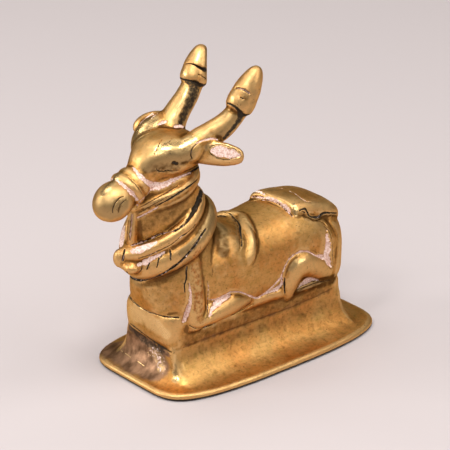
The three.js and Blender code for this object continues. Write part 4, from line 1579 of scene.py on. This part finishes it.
# %% Gloss
SATIN = 0.45
SATIN_PATCHES = 0.22
RESIDUE_DULL = 0.92
TARNISH_DULL = 0.7
dull = sums("MAXIMUM", sums("MULTIPLY", residue, RESIDUE_DULL), sums("MULTIPLY", tarnish, TARNISH_DULL))
links.new(sums("SUBTRACT", 1, dull), shader.inputs["Metallic"])
roughness = sums("ADD", SATIN, sums("MULTIPLY", sums("SUBTRACT", grain(2.4, 4), 0.5), SATIN_PATCHES))
for stain_mask, more in ((rust, 0.15), (patina, 0.05), (residue, 0.3), (tarnish, 0.12), (polish, -0.17)):
    roughness = sums("ADD", roughness, sums("MULTIPLY", stain_mask, more))
links.new(roughness, shader.inputs["Roughness"])
shader.inputs["Specular Tint"].default_value = (0.7, 0.5, 0.28, 1)
shader.inputs["Coat Weight"].default_value = 0.06
shader.inputs["Coat Roughness"].default_value = 0.3
print("gloss made in", len(nodes), "nodes")

# %% [markdown]
# The bump is only the part of the relief that is too fine for the mesh: file marks along the bull, pores, and
# a crust on the stains. Together they are about a tenth of a millimetre high.

# %% Fine relief
height = sums("MULTIPLY", grain(1.6, 3), 0.06)
for pattern, millimetres in ((grain(0.35, 3), 0.02), (streaks, 0.016), (pores, -0.03)):
    height = sums("ADD", height, sums("MULTIPLY", pattern, millimetres))
crust = sums("MULTIPLY", grain(0.45, 4), sums("MAXIMUM", residue, sums("MULTIPLY", rust, 0.4)))
height = sums("ADD", height, sums("MULTIPLY", crust, 0.08))
bump = nodes.new("ShaderNodeBump")
bump.inputs["Strength"].default_value = 1
bump.inputs["Distance"].default_value = mm
links.new(height, bump.inputs["Height"])
links.new(bump.outputs["Normal"], shader.inputs["Normal"])
print("relief made in", len(nodes), "nodes")

# %% [markdown]
# The bull gets its metal and smooth shading. It rides on the model's only body and stands for the packed
# casting.

# %% The finished bull
bull.data.materials.clear()
bull.data.materials.append(brass)
take(bull)
bpy.ops.object.shade_smooth()
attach(bull, "root")
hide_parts("nandi_bull")
print("bull:", len(bull.data.polygons), "faces,", triangle_count(), "triangles")

# %% [markdown]
# The bull stands on a sheet of pale, slightly pink paper. It is far wider than the view, so that no edge of
# it shows from any side.

# %% Floor
deselect()
bpy.ops.mesh.primitive_plane_add(size=6, location=(0, 0, 0))
floor = bpy.context.object
floor.name = "floor"
paper = bpy.data.materials.new("pale_paper")
paper.use_nodes = True
paper_shader = paper.node_tree.nodes["Principled BSDF"]
paper_shader.inputs["Base Color"].default_value = (0.57, 0.504, 0.494, 1)
paper_shader.inputs["Roughness"].default_value = 0.9
floor.data.materials.append(paper)
print("floor:", [round(v, 2) for v in floor.dimensions], "m")

# %% [markdown]
# The light is soft. The strongest box hangs overhead and a little in front. Two on the right model the flank,
# one low on the left edges the neck and muzzle, and two small ones high in front put the hot spots on the
# brow, the horns and the corner of the skirt. Two behind lift the back and the paper. The room stays dim,
# because it is the contrast between lights and room that makes metal look like metal.

# %% Light
LIGHT_DISTANCE = 1
LIT_HEIGHT = 0.04


def softbox(name, turn, lift, size, power):
    """A square area light, `turn` degrees round the bull to the camera's right and `lift` degrees up."""
    data = bpy.data.lights.new(name, "AREA")
    data.size = size
    data.energy = power
    light = bpy.data.objects.new(name, data)
    ahead = Vector((camera_back.x, camera_back.y, 0)).normalized()
    level_way = ahead * math.cos(math.radians(turn)) + camera_right * math.sin(math.radians(turn))
    towards = level_way * math.cos(math.radians(lift)) + Vector((0, 0, math.sin(math.radians(lift))))
    light.location = towards * LIGHT_DISTANCE + Vector((0, 0, LIT_HEIGHT))
    light.rotation_euler = towards.to_track_quat("Z", "Y").to_euler()
    bpy.context.scene.collection.objects.link(light)


softbox("overhead", 5, 72, 0.35, 5)
softbox("right_high", 90, 55, 0.4, 2.1)
softbox("right_front", 60, 30, 0.4, 2.1)
softbox("left_side", -85, 20, 0.35, 3.8)
softbox("left_high", -40, 46, 0.18, 2.4)
softbox("front_high", -8, 38, 0.14, 1)
softbox("left_back", -115, 62, 0.4, 2.1)
softbox("back", 172, 52, 0.6, 0.8)
world = bpy.data.worlds.new("studio")
world.use_nodes = True
world.node_tree.nodes["Background"].inputs["Color"].default_value = (1, 0.97, 0.96, 1)
world.node_tree.nodes["Background"].inputs["Strength"].default_value = 0.16
bpy.context.scene.world = world
bpy.context.scene.view_settings.view_transform = "Standard"
